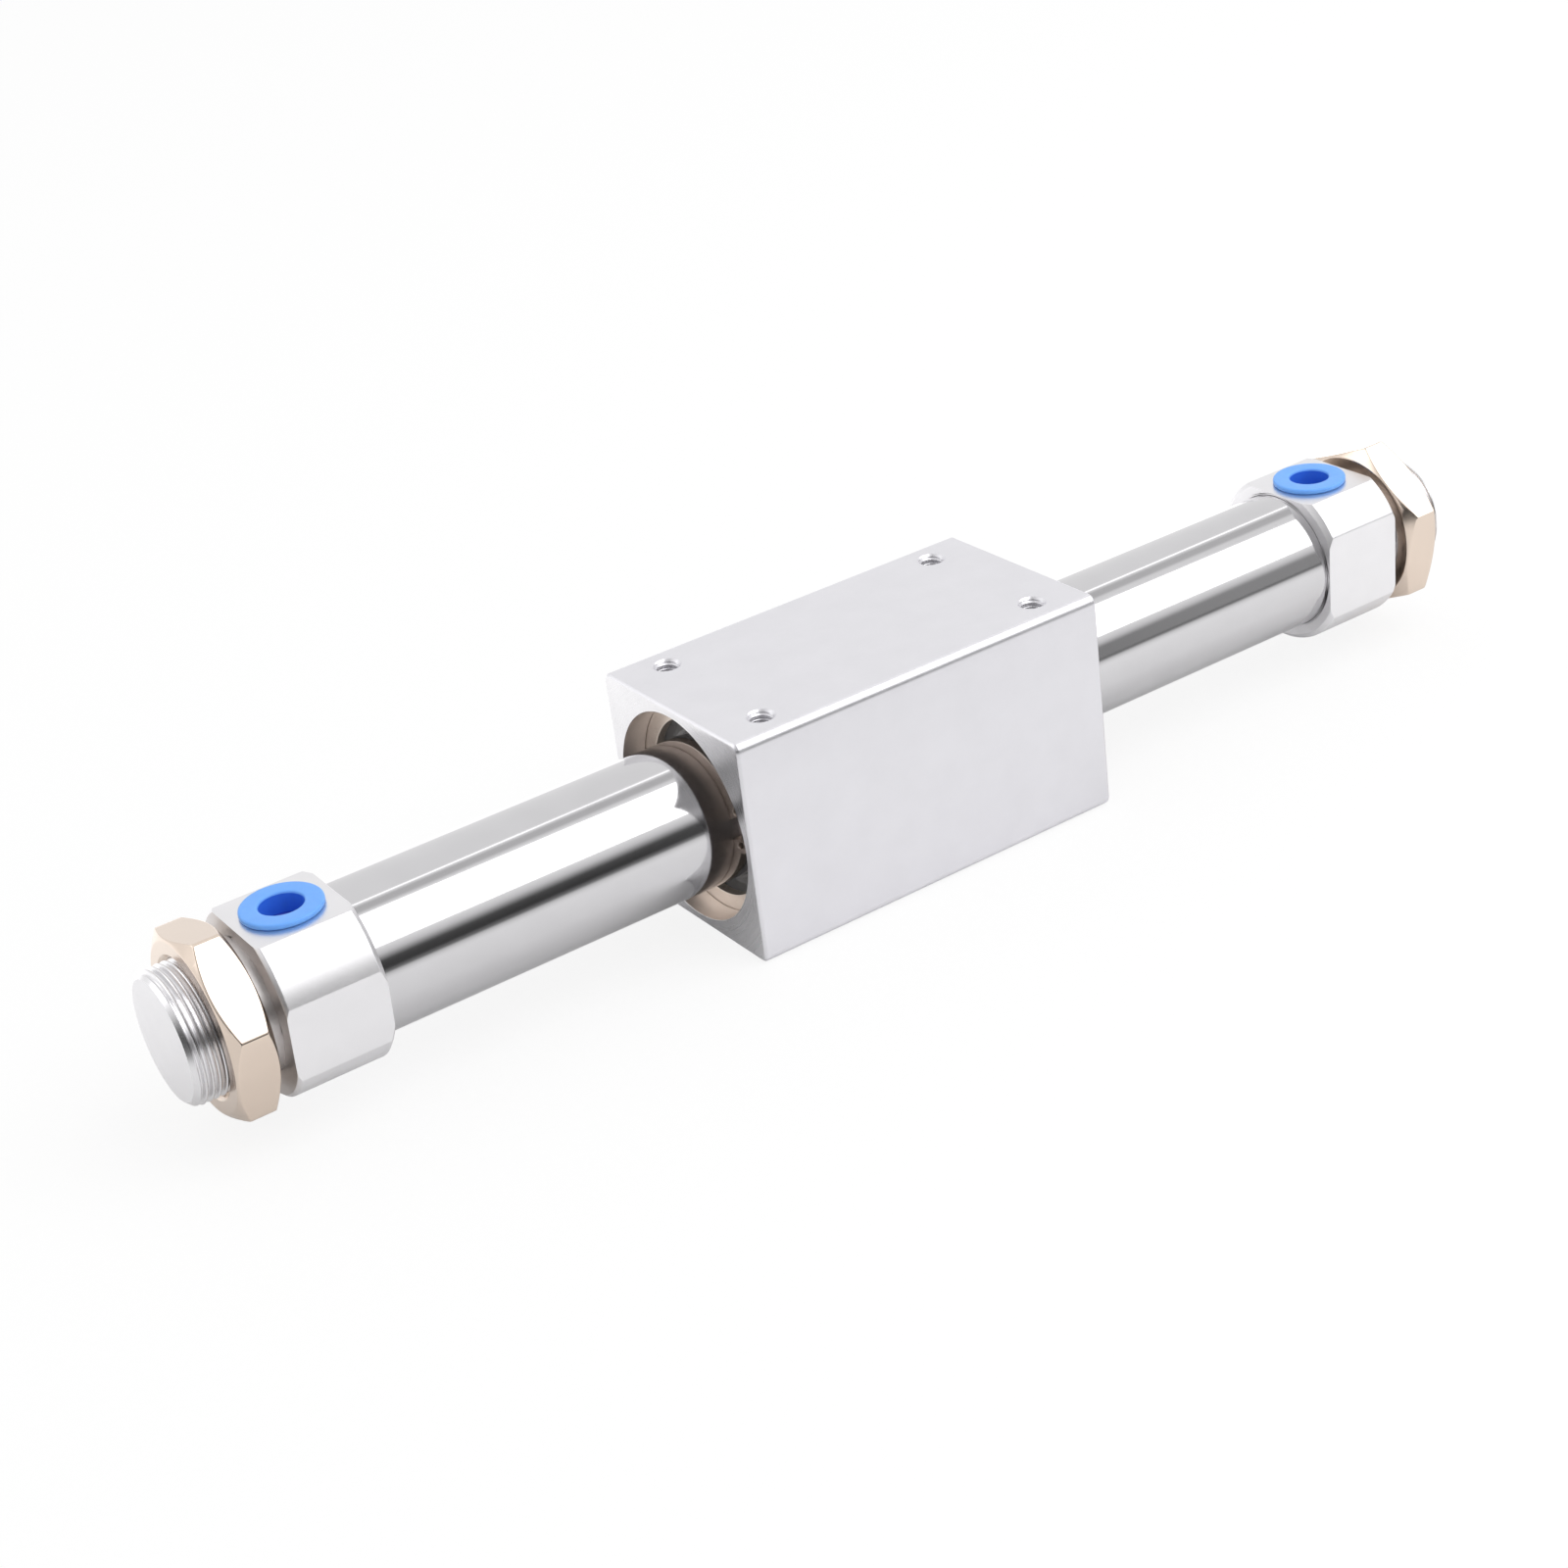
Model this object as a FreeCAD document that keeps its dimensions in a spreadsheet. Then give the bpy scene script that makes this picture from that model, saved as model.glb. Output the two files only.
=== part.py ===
import FreeCAD, Part

import math
import os

import Sketcher

# Magnetically coupled rodless cylinder of 20 mm bore and 100 mm stroke, in millimetres.
#
# A magnet stack on a piston inside a thin stainless tube drags a second stack, and with it a square
# carriage, along the outside of the tube. The frame has its origin on the tube's axis, midway between
# the tips of the two noses. +X runs along the tube from the near end to the far end, +Z points out of
# the air ports and of the carriage's tapped face, and the carriage rests on the face below.

DOC = FreeCAD.newDocument("rodless_cylinder")
SHEET = DOC.addObject("Spreadsheet::Sheet", "Sizes")
ORIGIN = FreeCAD.Vector(0, 0, 0)
Z_AXIS = FreeCAD.Vector(0, 0, 1)
PIECES = []


class Size:
    """A length or an angle: its number, and the same as a formula over the sheet's cells."""

    def __init__(self, number, formula=None):
        self.number = float(number)
        self.formula = formula or repr(float(number))

    def __add__(self, other):
        other = as_size(other)
        return Size(self.number + other.number, f"({self.formula} + {other.formula})")

    def __sub__(self, other):
        other = as_size(other)
        return Size(self.number - other.number, f"({self.formula} - {other.formula})")

    def __mul__(self, other):
        other = as_size(other)
        return Size(self.number * other.number, f"({self.formula} * {other.formula})")

    def __truediv__(self, other):
        other = as_size(other)
        return Size(self.number / other.number, f"({self.formula} / {other.formula})")

    def __neg__(self):
        return Size(-self.number, f"(-1 * {self.formula})")

    __radd__ = __add__
    __rmul__ = __mul__

    def __rsub__(self, other):
        return as_size(other) - self


def as_size(value):
    """Let a plain number take part in a formula."""
    return value if isinstance(value, Size) else Size(value)


def tangent(angle):
    """Tangent of an angle given in degrees."""
    return Size(math.tan(math.radians(angle.number)), f"tan({angle.formula})")


def cosine(angle):
    """Cosine of an angle given in degrees."""
    return Size(math.cos(math.radians(angle.number)), f"cos({angle.formula})")


def sine(angle):
    """Sine of an angle given in degrees."""
    return Size(math.sin(math.radians(angle.number)), f"sin({angle.formula})")


def root(value):
    """Square root of a squared length."""
    return Size(math.sqrt(value.number), f"sqrt({value.formula})")


def cell(name, number):
    """Write one driving dimension into the next row of the sheet."""
    row = cell.row
    cell.row += 1
    SHEET.set(f"A{row}", name.replace("_", " "))
    SHEET.set(f"B{row}", str(number))
    SHEET.setAlias(f"B{row}", name)
    return Size(number, f"Sizes.{name}")


cell.row = 1

# Tube and stroke
bore_diameter = cell("bore_diameter", 20)
tube_wall = cell("tube_wall", 1.4)
stroke = cell("stroke", 100)
end_margin = cell("end_margin", 20)
carriage_offset = cell("carriage_offset", 1)

# End caps
cap_wall = cell("cap_wall", 2.57)
cap_chamfer = cell("cap_chamfer", 0.8)
cap_edge = cell("cap_edge", 0.5)
near_flat_wall = cell("near_flat_wall", 1.27)
far_flat_wall = cell("far_flat_wall", 0.57)
near_flat_turn = cell("near_flat_turn", -6)
far_flat_turn = cell("far_flat_turn", 1)
port_flat_wall = cell("port_flat_wall", 0.37)
port_diameter = cell("port_diameter", 8.56)
port_wall = cell("port_wall", 3.22)
port_depth = cell("port_depth", 7.5)
port_chamfer = cell("port_chamfer", 0.4)
passage_diameter = cell("passage_diameter", 4)
chamber_diameter = cell("chamber_diameter", 7)
drill_angle = cell("drill_angle", 31)
pilot_length = cell("pilot_length", 2)
nose_diameter = cell("nose_diameter", 20)
nose_length = cell("nose_length", 13)
nose_chamfer = cell("nose_chamfer", 1)
thread_relief = cell("thread_relief", 0.03)
socket_depth = cell("socket_depth", 2.2)
spigot_length = cell("spigot_length", 7)
tube_play = cell("tube_play", 0.03)

# Tube gaskets and bumpers
gasket_setback = cell("gasket_setback", 2.2)
gasket_groove_width = cell("gasket_groove_width", 1.7)
gasket_groove_depth = cell("gasket_groove_depth", 1.22)
gasket_play = cell("gasket_play", 0.01)
bumper_thickness = cell("bumper_thickness", 2)
bumper_play = cell("bumper_play", 0.6)
bumper_gap = cell("bumper_gap", 0.5)

# Mounting nuts
nut_wall = cell("nut_wall", 3)
nut_thickness = cell("nut_thickness", 6.5)
nut_face_drop = cell("nut_face_drop", 0.7)
nut_chamfer_angle = cell("nut_chamfer_angle", 30)
nut_mouth = cell("nut_mouth", 0.7)
near_nut_turn = cell("near_nut_turn", 13)
far_nut_turn = cell("far_nut_turn", 38.6)

# Port plugs
plug_rim = cell("plug_rim", 1.67)
plug_flange_thickness = cell("plug_flange_thickness", 0.9)
plug_edge = cell("plug_edge", 0.25)
plug_play = cell("plug_play", 0.08)
plug_depth = cell("plug_depth", 6)
plug_wall = cell("plug_wall", 1)
plug_floor = cell("plug_floor", 0.9)
plug_step_depth = cell("plug_step_depth", 2.6)
plug_step = cell("plug_step", 0.7)

# Carriage housing
carriage_length = cell("carriage_length", 66)
carriage_side_wall = cell("carriage_side_wall", 1.5)
carriage_top_wall = cell("carriage_top_wall", 1.5)
carriage_edge = cell("carriage_edge", 1.5)
carriage_end_chamfer = cell("carriage_end_chamfer", 0.4)
bearing_depth = cell("bearing_depth", 5.1)
bearing_length = cell("bearing_length", 7)
hole_pitch_along = cell("hole_pitch_along", 50)
hole_pitch_across = cell("hole_pitch_across", 25)
hole_drill = cell("hole_drill", 3.3)
hole_depth = cell("hole_depth", 5)
hole_mouth = cell("hole_mouth", 4.5)

# Retaining rings, scrapers and bearing rings
ring_setback = cell("ring_setback", 4)
ring_groove_width = cell("ring_groove_width", 1.6)
ring_groove_depth = cell("ring_groove_depth", 0.7)
ring_play = cell("ring_play", 0.05)
ring_width = cell("ring_width", 3.15)
ring_shift = cell("ring_shift", 0.2)
ring_opening = cell("ring_opening", 6)
lug_diameter = cell("lug_diameter", 4.4)
lug_hole = cell("lug_hole", 1.8)
scraper_thickness = cell("scraper_thickness", 3.4)
scraper_lip = cell("scraper_lip", 0.6)
scraper_hollow_width = cell("scraper_hollow_width", 2.2)
scraper_hollow_depth = cell("scraper_hollow_depth", 1.4)
slide_play = cell("slide_play", 0.03)
turn_play = cell("turn_play", 0.08)
face_play = cell("face_play", 0.05)

# Magnet stacks
yoke_length = cell("yoke_length", 2)
magnet_air_gap = cell("magnet_air_gap", 0.3)
magnet_wall_gap = cell("magnet_wall_gap", 0.6)
stack_play = cell("stack_play", 0.05)
shaft_play = cell("shaft_play", 0.03)

# Piston
piston_play = cell("piston_play", 0.1)
piston_bore_play = cell("piston_bore_play", 0.03)
seal_setback = cell("seal_setback", 1.4)
seal_groove_width = cell("seal_groove_width", 2.4)
seal_groove_depth = cell("seal_groove_depth", 1.9)
seal_play = cell("seal_play", 0.05)
wear_setback = cell("wear_setback", 1.2)
wear_groove_width = cell("wear_groove_width", 2.6)
wear_groove_depth = cell("wear_groove_depth", 0.9)
shaft_diameter = cell("shaft_diameter", 6)
shaft_chamfer = cell("shaft_chamfer", 0.4)
shaft_overhang = cell("shaft_overhang", 1.3)
piston_web = cell("piston_web", 4.6)
piston_nut_wall = cell("piston_nut_wall", 2)
piston_nut_thickness = cell("piston_nut_thickness", 3.2)
piston_nut_play = cell("piston_nut_play", 0.25)

DOC.recompute()

MAGNETS = 4
YOKES = MAGNETS + 1

# Radii and places that follow from the driving dimensions
bore_radius = bore_diameter / 2
tube_radius = bore_radius + tube_wall
socket_radius = tube_radius + tube_play
cap_radius = socket_radius + cap_wall
cap_length = port_diameter + 2 * port_wall
port_flat_height = socket_radius + port_flat_wall
housing_radius = tube_radius + bearing_depth
half_span = (stroke + carriage_length) / 2 + end_margin
cap_face = half_span - cap_length
spigot_face = cap_face - spigot_length
tube_half = cap_face + socket_depth
nut_back = half_span + pilot_length
nut_across_flats = nose_diameter + 2 * nut_wall
piston_nut_across_flats = shaft_diameter + 2 * piston_nut_wall
port_place = half_span - cap_length / 2
scraper_face = carriage_length / 2 - ring_setback - ring_groove_width
bearing_face = scraper_face - scraper_thickness
stack_half = bearing_face - bearing_length
magnet_length = (2 * stack_half - YOKES * yoke_length) / MAGNETS
piston_end = spigot_face - bumper_thickness - bumper_gap - stroke / 2
piston_length = piston_end - stack_half


class End:
    """The near or the far end: the start of its pieces' names and the way it faces.

    Its pieces are drawn facing +X, and at the near end they are turned half round about Z. So the
    cylinder's front, -Y, is on their own +Y side there: that is the sign that front holds.
    """

    def __init__(self, name, faces_back):
        self.name = name
        self.faces_back = faces_back
        self.front = 1 if faces_back else -1

    def label(self, piece):
        return f"{self.name}_{piece}"

    def place(self, body, distance, centre=None):
        """Put a body, drawn facing +X, at a distance out from the centre, facing outward."""
        along = -distance if self.faces_back else distance
        if centre is not None:
            along = along + centre
        body.Placement = FreeCAD.Placement(ORIGIN, FreeCAD.Rotation(Z_AXIS, 180 if self.faces_back else 0))
        body.setExpression("Placement.Base.x", along.formula)


NEAR = End("near", True)
FAR = End("far", False)
ENDS = (NEAR, FAR)


class Outline:
    """A sketch on one of a body's own planes, with a formula behind every size."""

    def __init__(self, body, name, plane, lift=None, turn=None):
        self.sketch = body.newObject("Sketcher::SketchObject", name)
        support = next(item for item in body.Origin.OriginFeatures if item.Role == plane)
        self.sketch.AttachmentSupport = [(support, "")]
        self.sketch.MapMode = "FlatFace"
        if lift is not None:
            self.sketch.setExpression("AttachmentOffset.Base.z", lift.formula)
        if turn is not None:
            self.sketch.AttachmentOffset = FreeCAD.Placement(ORIGIN, FreeCAD.Rotation(Z_AXIS, turn.number))
            self.sketch.setExpression("AttachmentOffset.Rotation.Angle", turn.formula)

    def _bind(self, kind, references, size):
        index = self.sketch.addConstraint(Sketcher.Constraint(kind, *references, size.number))
        self.sketch.setExpression(f"Constraints[{index}]", size.formula)

    def _pin(self, geometry, point, across, up):
        """Hold a point at its two distances from the sketch's origin."""
        if across.number == 0:
            self.sketch.addConstraint(Sketcher.Constraint("PointOnObject", geometry, point, -2))
        else:
            self._bind("DistanceX", (-1, 1, geometry, point), across)
        if up.number == 0:
            self.sketch.addConstraint(Sketcher.Constraint("PointOnObject", geometry, point, -1))
        else:
            self._bind("DistanceY", (-1, 1, geometry, point), up)

    def polygon(self, *corners):
        """Draw a closed outline through corners, each a pair of distances across and up."""
        corners = [(as_size(across), as_size(up)) for across, up in corners]
        points = [FreeCAD.Vector(across.number, up.number, 0) for across, up in corners]
        first = self.sketch.GeometryCount
        count = len(points)
        for index, point in enumerate(points):
            self.sketch.addGeometry(Part.LineSegment(point, points[(index + 1) % count]), False)
        for index in range(count):
            following = first + (index + 1) % count
            self.sketch.addConstraint(Sketcher.Constraint("Coincident", first + index, 2, following, 1))
        for index, (across, up) in enumerate(corners):
            self._pin(first + index, 1, across, up)
        return self

    def rectangle(self, low_across, high_across, low_up, high_up):
        """Draw a rectangle between its four sides."""
        low_side = ((low_across, low_up), (high_across, low_up))
        high_side = ((high_across, high_up), (low_across, high_up))
        return self.polygon(*low_side, *high_side)

    def circle(self, radius, across=0, up=0):
        """Draw a circle about a point given by its distances across and up."""
        across, up = as_size(across), as_size(up)
        centre = FreeCAD.Vector(across.number, up.number, 0)
        index = self.sketch.addGeometry(Part.Circle(centre, Z_AXIS, radius.number), False)
        self._bind("Radius", (index,), radius)
        self._pin(index, 3, across, up)
        return self


def new_body(label):
    """Start one piece of the product."""
    body = DOC.addObject("PartDesign::Body", label)
    body.Label = label
    PIECES.append(body)
    return body


def pad(body, outline, length, midplane=False):
    """Raise an outline into a solid, or add it to the one that the body has."""
    feature = body.newObject("PartDesign::Pad", "Pad")
    feature.Profile = outline.sketch
    feature.Midplane = midplane
    feature.setExpression("Length", length.formula)
    return feature


def pocket(body, outline, length=None, reverse=False, midplane=False):
    """Cut an outline out of the body, right through unless a length is given."""
    feature = body.newObject("PartDesign::Pocket", "Pocket")
    feature.Profile = outline.sketch
    feature.Reversed = reverse
    feature.Midplane = midplane
    if length is None:
        feature.Type = "ThroughAll"
    else:
        feature.setExpression("Length", length.formula)
    return feature


def revolve(body, outline, axis="H_Axis"):
    """Turn an outline about one of its sketch's axes."""
    feature = body.newObject("PartDesign::Revolution", "Turned")
    feature.Profile = outline.sketch
    feature.ReferenceAxis = (outline.sketch, [axis])
    feature.Angle = 360
    return feature


def groove(body, outline, axis="H_Axis"):
    """Turn an outline about one of its sketch's axes and cut it away."""
    feature = body.newObject("PartDesign::Groove", "Groove")
    feature.Profile = outline.sketch
    feature.ReferenceAxis = (outline.sketch, [axis])
    feature.Angle = 360
    return feature


def edges_where(feature, wanted):
    """Name the edges of a feature that meet a test."""
    DOC.recompute()
    return [f"Edge{number}" for number, edge in enumerate(feature.Shape.Edges, 1) if wanted(edge)]


def dress(body, kind, feature, wanted, size):
    """Add a fillet or a chamfer to the edges of a feature that meet a test."""
    names = edges_where(feature, wanted)
    result = body.newObject(f"PartDesign::{kind}", kind)
    result.Base = (feature, names)
    result.setExpression("Radius" if kind == "Fillet" else "Size", size.formula)
    return result


def turned_piece(label, corners):
    """Make a piece turned about X from its half section."""
    body = new_body(label)
    revolve(body, Outline(body, "HalfSection", "XZ_Plane").polygon(*corners))
    return body


def plain_ring(label, inner_radius, outer_radius, length):
    """Make a ring about X that starts at its body's origin."""
    corners = ((0, inner_radius), (length, inner_radius), (length, outer_radius), (0, outer_radius))
    return turned_piece(label, corners)


def cylinder_tube():
    """The stainless tube, seated at both ends in the caps' sockets."""
    body = plain_ring("cylinder_tube", bore_radius, tube_radius, 2 * tube_half)
    body.setExpression("Placement.Base.x", (-tube_half).formula)


def end_cap(end, flat_wall, flat_turn):
    """A cap: spigot and socket for the tube, ported block with three flats, pilot and threaded nose."""
    body = new_body(end.label("end_cap"))
    spigot_radius = bore_radius - tube_play
    nose_radius = nose_diameter / 2
    chamber_radius = chamber_diameter / 2
    groove_start = gasket_setback
    groove_end = groove_start + gasket_groove_width
    groove_radius = spigot_radius - gasket_groove_depth
    inner = spigot_length
    outer = inner + cap_length
    tip = outer + nose_length
    port_centre = outer - cap_length / 2
    chamber_end = port_centre + passage_diameter / 2
    chamber_tip = chamber_end + chamber_radius * tangent(drill_angle)
    section = Outline(body, "HalfSection", "XZ_Plane")
    section.polygon(
        (0, chamber_radius),
        (0, spigot_radius),
        (groove_start, spigot_radius),
        (groove_start, groove_radius),
        (groove_end, groove_radius),
        (groove_end, spigot_radius),
        (inner + socket_depth, spigot_radius),
        (inner + socket_depth, socket_radius),
        (inner, socket_radius),
        (inner, cap_radius - cap_chamfer),
        (inner + cap_chamfer, cap_radius),
        (outer - cap_edge, cap_radius),
        (outer, cap_radius - cap_edge),
        (outer, nose_radius),
        (outer + pilot_length, nose_radius),
        (outer + pilot_length, nose_radius - thread_relief),
        (tip - nose_chamfer, nose_radius - thread_relief),
        (tip, nose_radius - thread_relief - nose_chamfer),
        (tip, 0),
        (chamber_tip, 0),
        (chamber_end, chamber_radius),
    )
    revolve(body, section)

    wide = 2 * cap_radius
    flat_reach = socket_radius + flat_wall
    side_flats = Outline(body, "SideFlats", "YZ_Plane", turn=flat_turn)
    side_flats.rectangle(flat_reach, flat_reach + wide, -wide, wide)
    side_flats.rectangle(-flat_reach - wide, -flat_reach, -wide, wide)
    pocket(body, side_flats, reverse=True)

    port_flat = Outline(body, "PortFlat", "YZ_Plane")
    port_flat.rectangle(-wide, wide, port_flat_height, port_flat_height + wide)
    pocket(body, port_flat, reverse=True)

    passage = Outline(body, "Passage", "XY_Plane")
    passage.circle(passage_diameter / 2, port_centre)
    pocket(body, passage, reverse=True)

    port = Outline(body, "Port", "XY_Plane", lift=port_flat_height - port_depth)
    port.circle(port_diameter / 2, port_centre)
    drilled = pocket(body, port, reverse=True)

    def is_port_rim(edge):
        level = edge.BoundBox.ZMin
        flat = edge.BoundBox.ZLength < 0.01
        return flat and abs(level - port_flat_height.number) < 0.01 and edge.Closed

    dress(body, "Chamfer", drilled, is_port_rim, port_chamfer)
    end.place(body, spigot_face)


def tube_gasket(end):
    """The O-ring in the groove of a cap's spigot."""
    spigot_radius = bore_radius - tube_play
    section_radius = (gasket_groove_depth + tube_play) / 2 - gasket_play
    ring = DOC.addObject("Part::Torus", end.label("tube_gasket"))
    ring.Label = end.label("tube_gasket")
    centre_radius = spigot_radius - gasket_groove_depth + gasket_play + section_radius
    ring.setExpression("Radius1", centre_radius.formula)
    ring.setExpression("Radius2", section_radius.formula)
    ring.Placement = FreeCAD.Placement(ORIGIN, FreeCAD.Rotation(FreeCAD.Vector(0, 1, 0), 90))
    distance = spigot_face + gasket_setback + gasket_groove_width / 2
    ring.setExpression("Placement.Base.x", (-distance if end.faces_back else distance).formula)
    PIECES.append(ring)


def bumper(end):
    """The urethane ring on the face of a cap's spigot, which the piston meets."""
    inner_radius = chamber_diameter / 2 + bumper_play
    outer_radius = bore_radius - bumper_play
    body = plain_ring(end.label("bumper"), inner_radius, outer_radius, bumper_thickness)
    end.place(body, spigot_face - bumper_thickness)


def hexagon(across_flats):
    """The corners of a hexagon about the origin, the first one on the first axis."""
    corner_radius = across_flats / 2 / cosine(Size(30))
    corners = []
    for index in range(6):
        angle = Size(60 * index)
        up = Size(0) if index % 3 == 0 else corner_radius * sine(angle)
        corners.append((corner_radius * cosine(angle), up))
    return corners


def mounting_nut(end, turn):
    """A thin hexagon nut, chamfered on both faces, standing against the cap's pilot."""
    body = new_body(end.label("mounting_nut"))
    hole_radius = nose_diameter / 2
    blank = Outline(body, "Hexagon", "YZ_Plane", turn=turn).polygon(*hexagon(nut_across_flats))
    blank.circle(hole_radius)
    pad(body, blank, nut_thickness)

    face_radius = (nut_across_flats - nut_face_drop) / 2
    beyond = nut_across_flats
    fall = (beyond - face_radius) * tangent(nut_chamfer_angle)
    cuts = Outline(body, "Chamfers", "XZ_Plane")
    cuts.polygon((0, face_radius), (0, beyond), (fall, beyond))
    cuts.polygon((nut_thickness, face_radius), (nut_thickness, beyond), (nut_thickness - fall, beyond))
    groove(body, cuts)

    low = hole_radius - nut_mouth
    high = hole_radius + nut_mouth
    mouths = Outline(body, "Mouths", "XZ_Plane")
    mouths.polygon((0, low), (0, high), (2 * nut_mouth, low))
    mouths.polygon((nut_thickness, low), (nut_thickness, high), (nut_thickness - 2 * nut_mouth, low))
    groove(body, mouths)
    end.place(body, nut_back)


def port_plug(end):
    """A moulded cap plug: a flange on the port flat and a stepped hollow shank in the port."""
    body = new_body(end.label("port_plug"))
    shank_radius = port_diameter / 2 - plug_play
    hollow_radius = shank_radius - plug_wall
    flange_radius = port_diameter / 2 + plug_rim
    top = plug_flange_thickness
    bottom = plug_depth
    section = Outline(body, "HalfSection", "XZ_Plane")
    section.polygon(
        (0, plug_floor - bottom),
        (hollow_radius - plug_step, plug_floor - bottom),
        (hollow_radius - plug_step, -plug_step_depth),
        (hollow_radius, -plug_step_depth),
        (hollow_radius, top),
        (flange_radius - plug_edge, top),
        (flange_radius, top - plug_edge),
        (flange_radius, 0),
        (shank_radius, 0),
        (shank_radius, -bottom + plug_edge),
        (shank_radius - plug_edge, -bottom),
        (0, -bottom),
    )
    revolve(body, section, axis="V_Axis")
    end.place(body, port_place)
    body.setExpression("Placement.Base.z", port_flat_height.formula)


def carriage_housing():
    """The square block: rounded long edges, one bore right through, ring grooves and four tapped holes."""
    body = new_body("carriage_housing")
    half_width = housing_radius + carriage_side_wall
    half_height = housing_radius + carriage_top_wall
    half_length = carriage_length / 2
    square = Outline(body, "Square", "YZ_Plane")
    square.rectangle(-half_width, half_width, -half_height, half_height)
    block = pad(body, square, carriage_length, midplane=True)

    def is_long(edge):
        return edge.BoundBox.XLength > 1

    rounded = dress(body, "Fillet", block, is_long, carriage_edge)

    def is_on_end(edge):
        return edge.BoundBox.XLength < 0.01

    dress(body, "Chamfer", rounded, is_on_end, carriage_end_chamfer)

    pocket(body, Outline(body, "Bore", "YZ_Plane").circle(housing_radius), midplane=True)

    grooves = Outline(body, "RingGrooves", "XZ_Plane")
    groove_start = half_length - ring_setback - ring_groove_width
    groove_end = half_length - ring_setback
    low = housing_radius - ring_groove_depth
    high = housing_radius + ring_groove_depth
    grooves.rectangle(groove_start, groove_end, low, high)
    grooves.rectangle(-groove_end, -groove_start, low, high)
    groove(body, grooves)

    marks = Outline(body, "HoleCentres", "XY_Plane", lift=half_height)
    for along in (-hole_pitch_along / 2, hole_pitch_along / 2):
        for across in (-hole_pitch_across / 2, hole_pitch_across / 2):
            marks.circle(hole_drill / 2, along, across)
    DOC.recompute()
    holes = body.newObject("PartDesign::Hole", "TappedHoles")
    holes.Profile = marks.sketch
    holes.DepthType = "Dimension"
    holes.DrillPoint = "Angled"
    holes.HoleCutType = "Countersink"
    holes.HoleCutCustomValues = True
    holes.HoleCutCountersinkAngle = 90
    holes.setExpression("Diameter", hole_drill.formula)
    holes.setExpression("Depth", hole_depth.formula)
    holes.setExpression("HoleCutDiameter", hole_mouth.formula)
    body.setExpression("Placement.Base.x", carriage_offset.formula)


def retaining_ring(end):
    """The open snap ring in the housing's groove: narrower towards its opening, with an eye each side."""
    body = new_body(end.label("retaining_ring"))
    outer_radius = housing_radius + ring_groove_depth - ring_play
    inner_radius = outer_radius - ring_width
    thickness = ring_groove_width - 2 * ring_play
    ring = Outline(body, "Ring", "YZ_Plane").circle(outer_radius)
    ring.circle(inner_radius, end.front * ring_shift)
    pad(body, ring, thickness)

    eye_radius = lug_diameter / 2
    eye_up = ring_opening / 2 + eye_radius / 2
    eye_reach = housing_radius - ring_play - eye_radius
    eye_across = end.front * root(eye_reach * eye_reach - eye_up * eye_up)
    eyes = Outline(body, "Eyes", "YZ_Plane")
    eyes.circle(eye_radius, eye_across, eye_up)
    eyes.circle(eye_radius, eye_across, -eye_up)
    pad(body, eyes, thickness)

    opening = Outline(body, "Opening", "YZ_Plane")
    inward = end.front * tube_radius
    outward = end.front * 2 * outer_radius
    opening.rectangle(inward, outward, -ring_opening / 2, ring_opening / 2)
    pocket(body, opening, reverse=True)

    sockets = Outline(body, "EyeHoles", "YZ_Plane")
    sockets.circle(lug_hole / 2, eye_across, eye_up)
    sockets.circle(lug_hole / 2, eye_across, -eye_up)
    pocket(body, sockets, reverse=True)
    end.place(body, scraper_face + ring_play, carriage_offset)


def scraper(end):
    """The rubber ring that wipes the tube: a plain ring with a hollow behind its lip."""
    inner_radius = tube_radius + slide_play
    outer_radius = housing_radius - turn_play
    hollow_start = inner_radius + scraper_lip
    hollow_end = hollow_start + scraper_hollow_width
    thickness = scraper_thickness - face_play
    corners = (
        (0, inner_radius),
        (0, outer_radius),
        (thickness, outer_radius),
        (thickness, hollow_end),
        (thickness - scraper_hollow_depth, hollow_end - scraper_lip),
        (thickness - scraper_hollow_depth, hollow_start + scraper_lip),
        (thickness, hollow_start),
        (thickness, inner_radius),
    )
    body = turned_piece(end.label("scraper"), corners)
    end.place(body, bearing_face, carriage_offset)


def bearing_ring(end):
    """The plastic ring that carries the carriage on the tube, between scraper and magnets."""
    inner_radius = tube_radius + slide_play
    outer_radius = housing_radius - turn_play
    body = plain_ring(end.label("bearing_ring"), inner_radius, outer_radius, bearing_length - 2 * face_play)
    end.place(body, stack_half + face_play, carriage_offset)


def magnet_stack(name, inner_radius, outer_radius):
    """Magnets in a row with a yoke at each end and between each two."""
    pitch = magnet_length + yoke_length
    for index in range(YOKES):
        yoke = plain_ring(f"{name}_yoke_{index + 1}", inner_radius, outer_radius, yoke_length)
        yoke.setExpression("Placement.Base.x", (index * pitch - stack_half + carriage_offset).formula)
    for index in range(MAGNETS):
        magnet = plain_ring(f"{name}_magnet_{index + 1}", inner_radius, outer_radius, magnet_length)
        start = index * pitch + yoke_length - stack_half + carriage_offset
        magnet.setExpression("Placement.Base.x", start.formula)


def piston_shaft():
    """The threaded stud that clamps the inner stack between the two piston heads."""
    radius = shaft_diameter / 2
    half = stack_half + piston_web + piston_nut_thickness + shaft_overhang
    corners = (
        (0, 0),
        (0, radius - shaft_chamfer),
        (shaft_chamfer, radius),
        (2 * half - shaft_chamfer, radius),
        (2 * half, radius - shaft_chamfer),
        (2 * half, 0),
    )
    body = turned_piece("piston_shaft", corners)
    body.setExpression("Placement.Base.x", (carriage_offset - half).formula)


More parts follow.
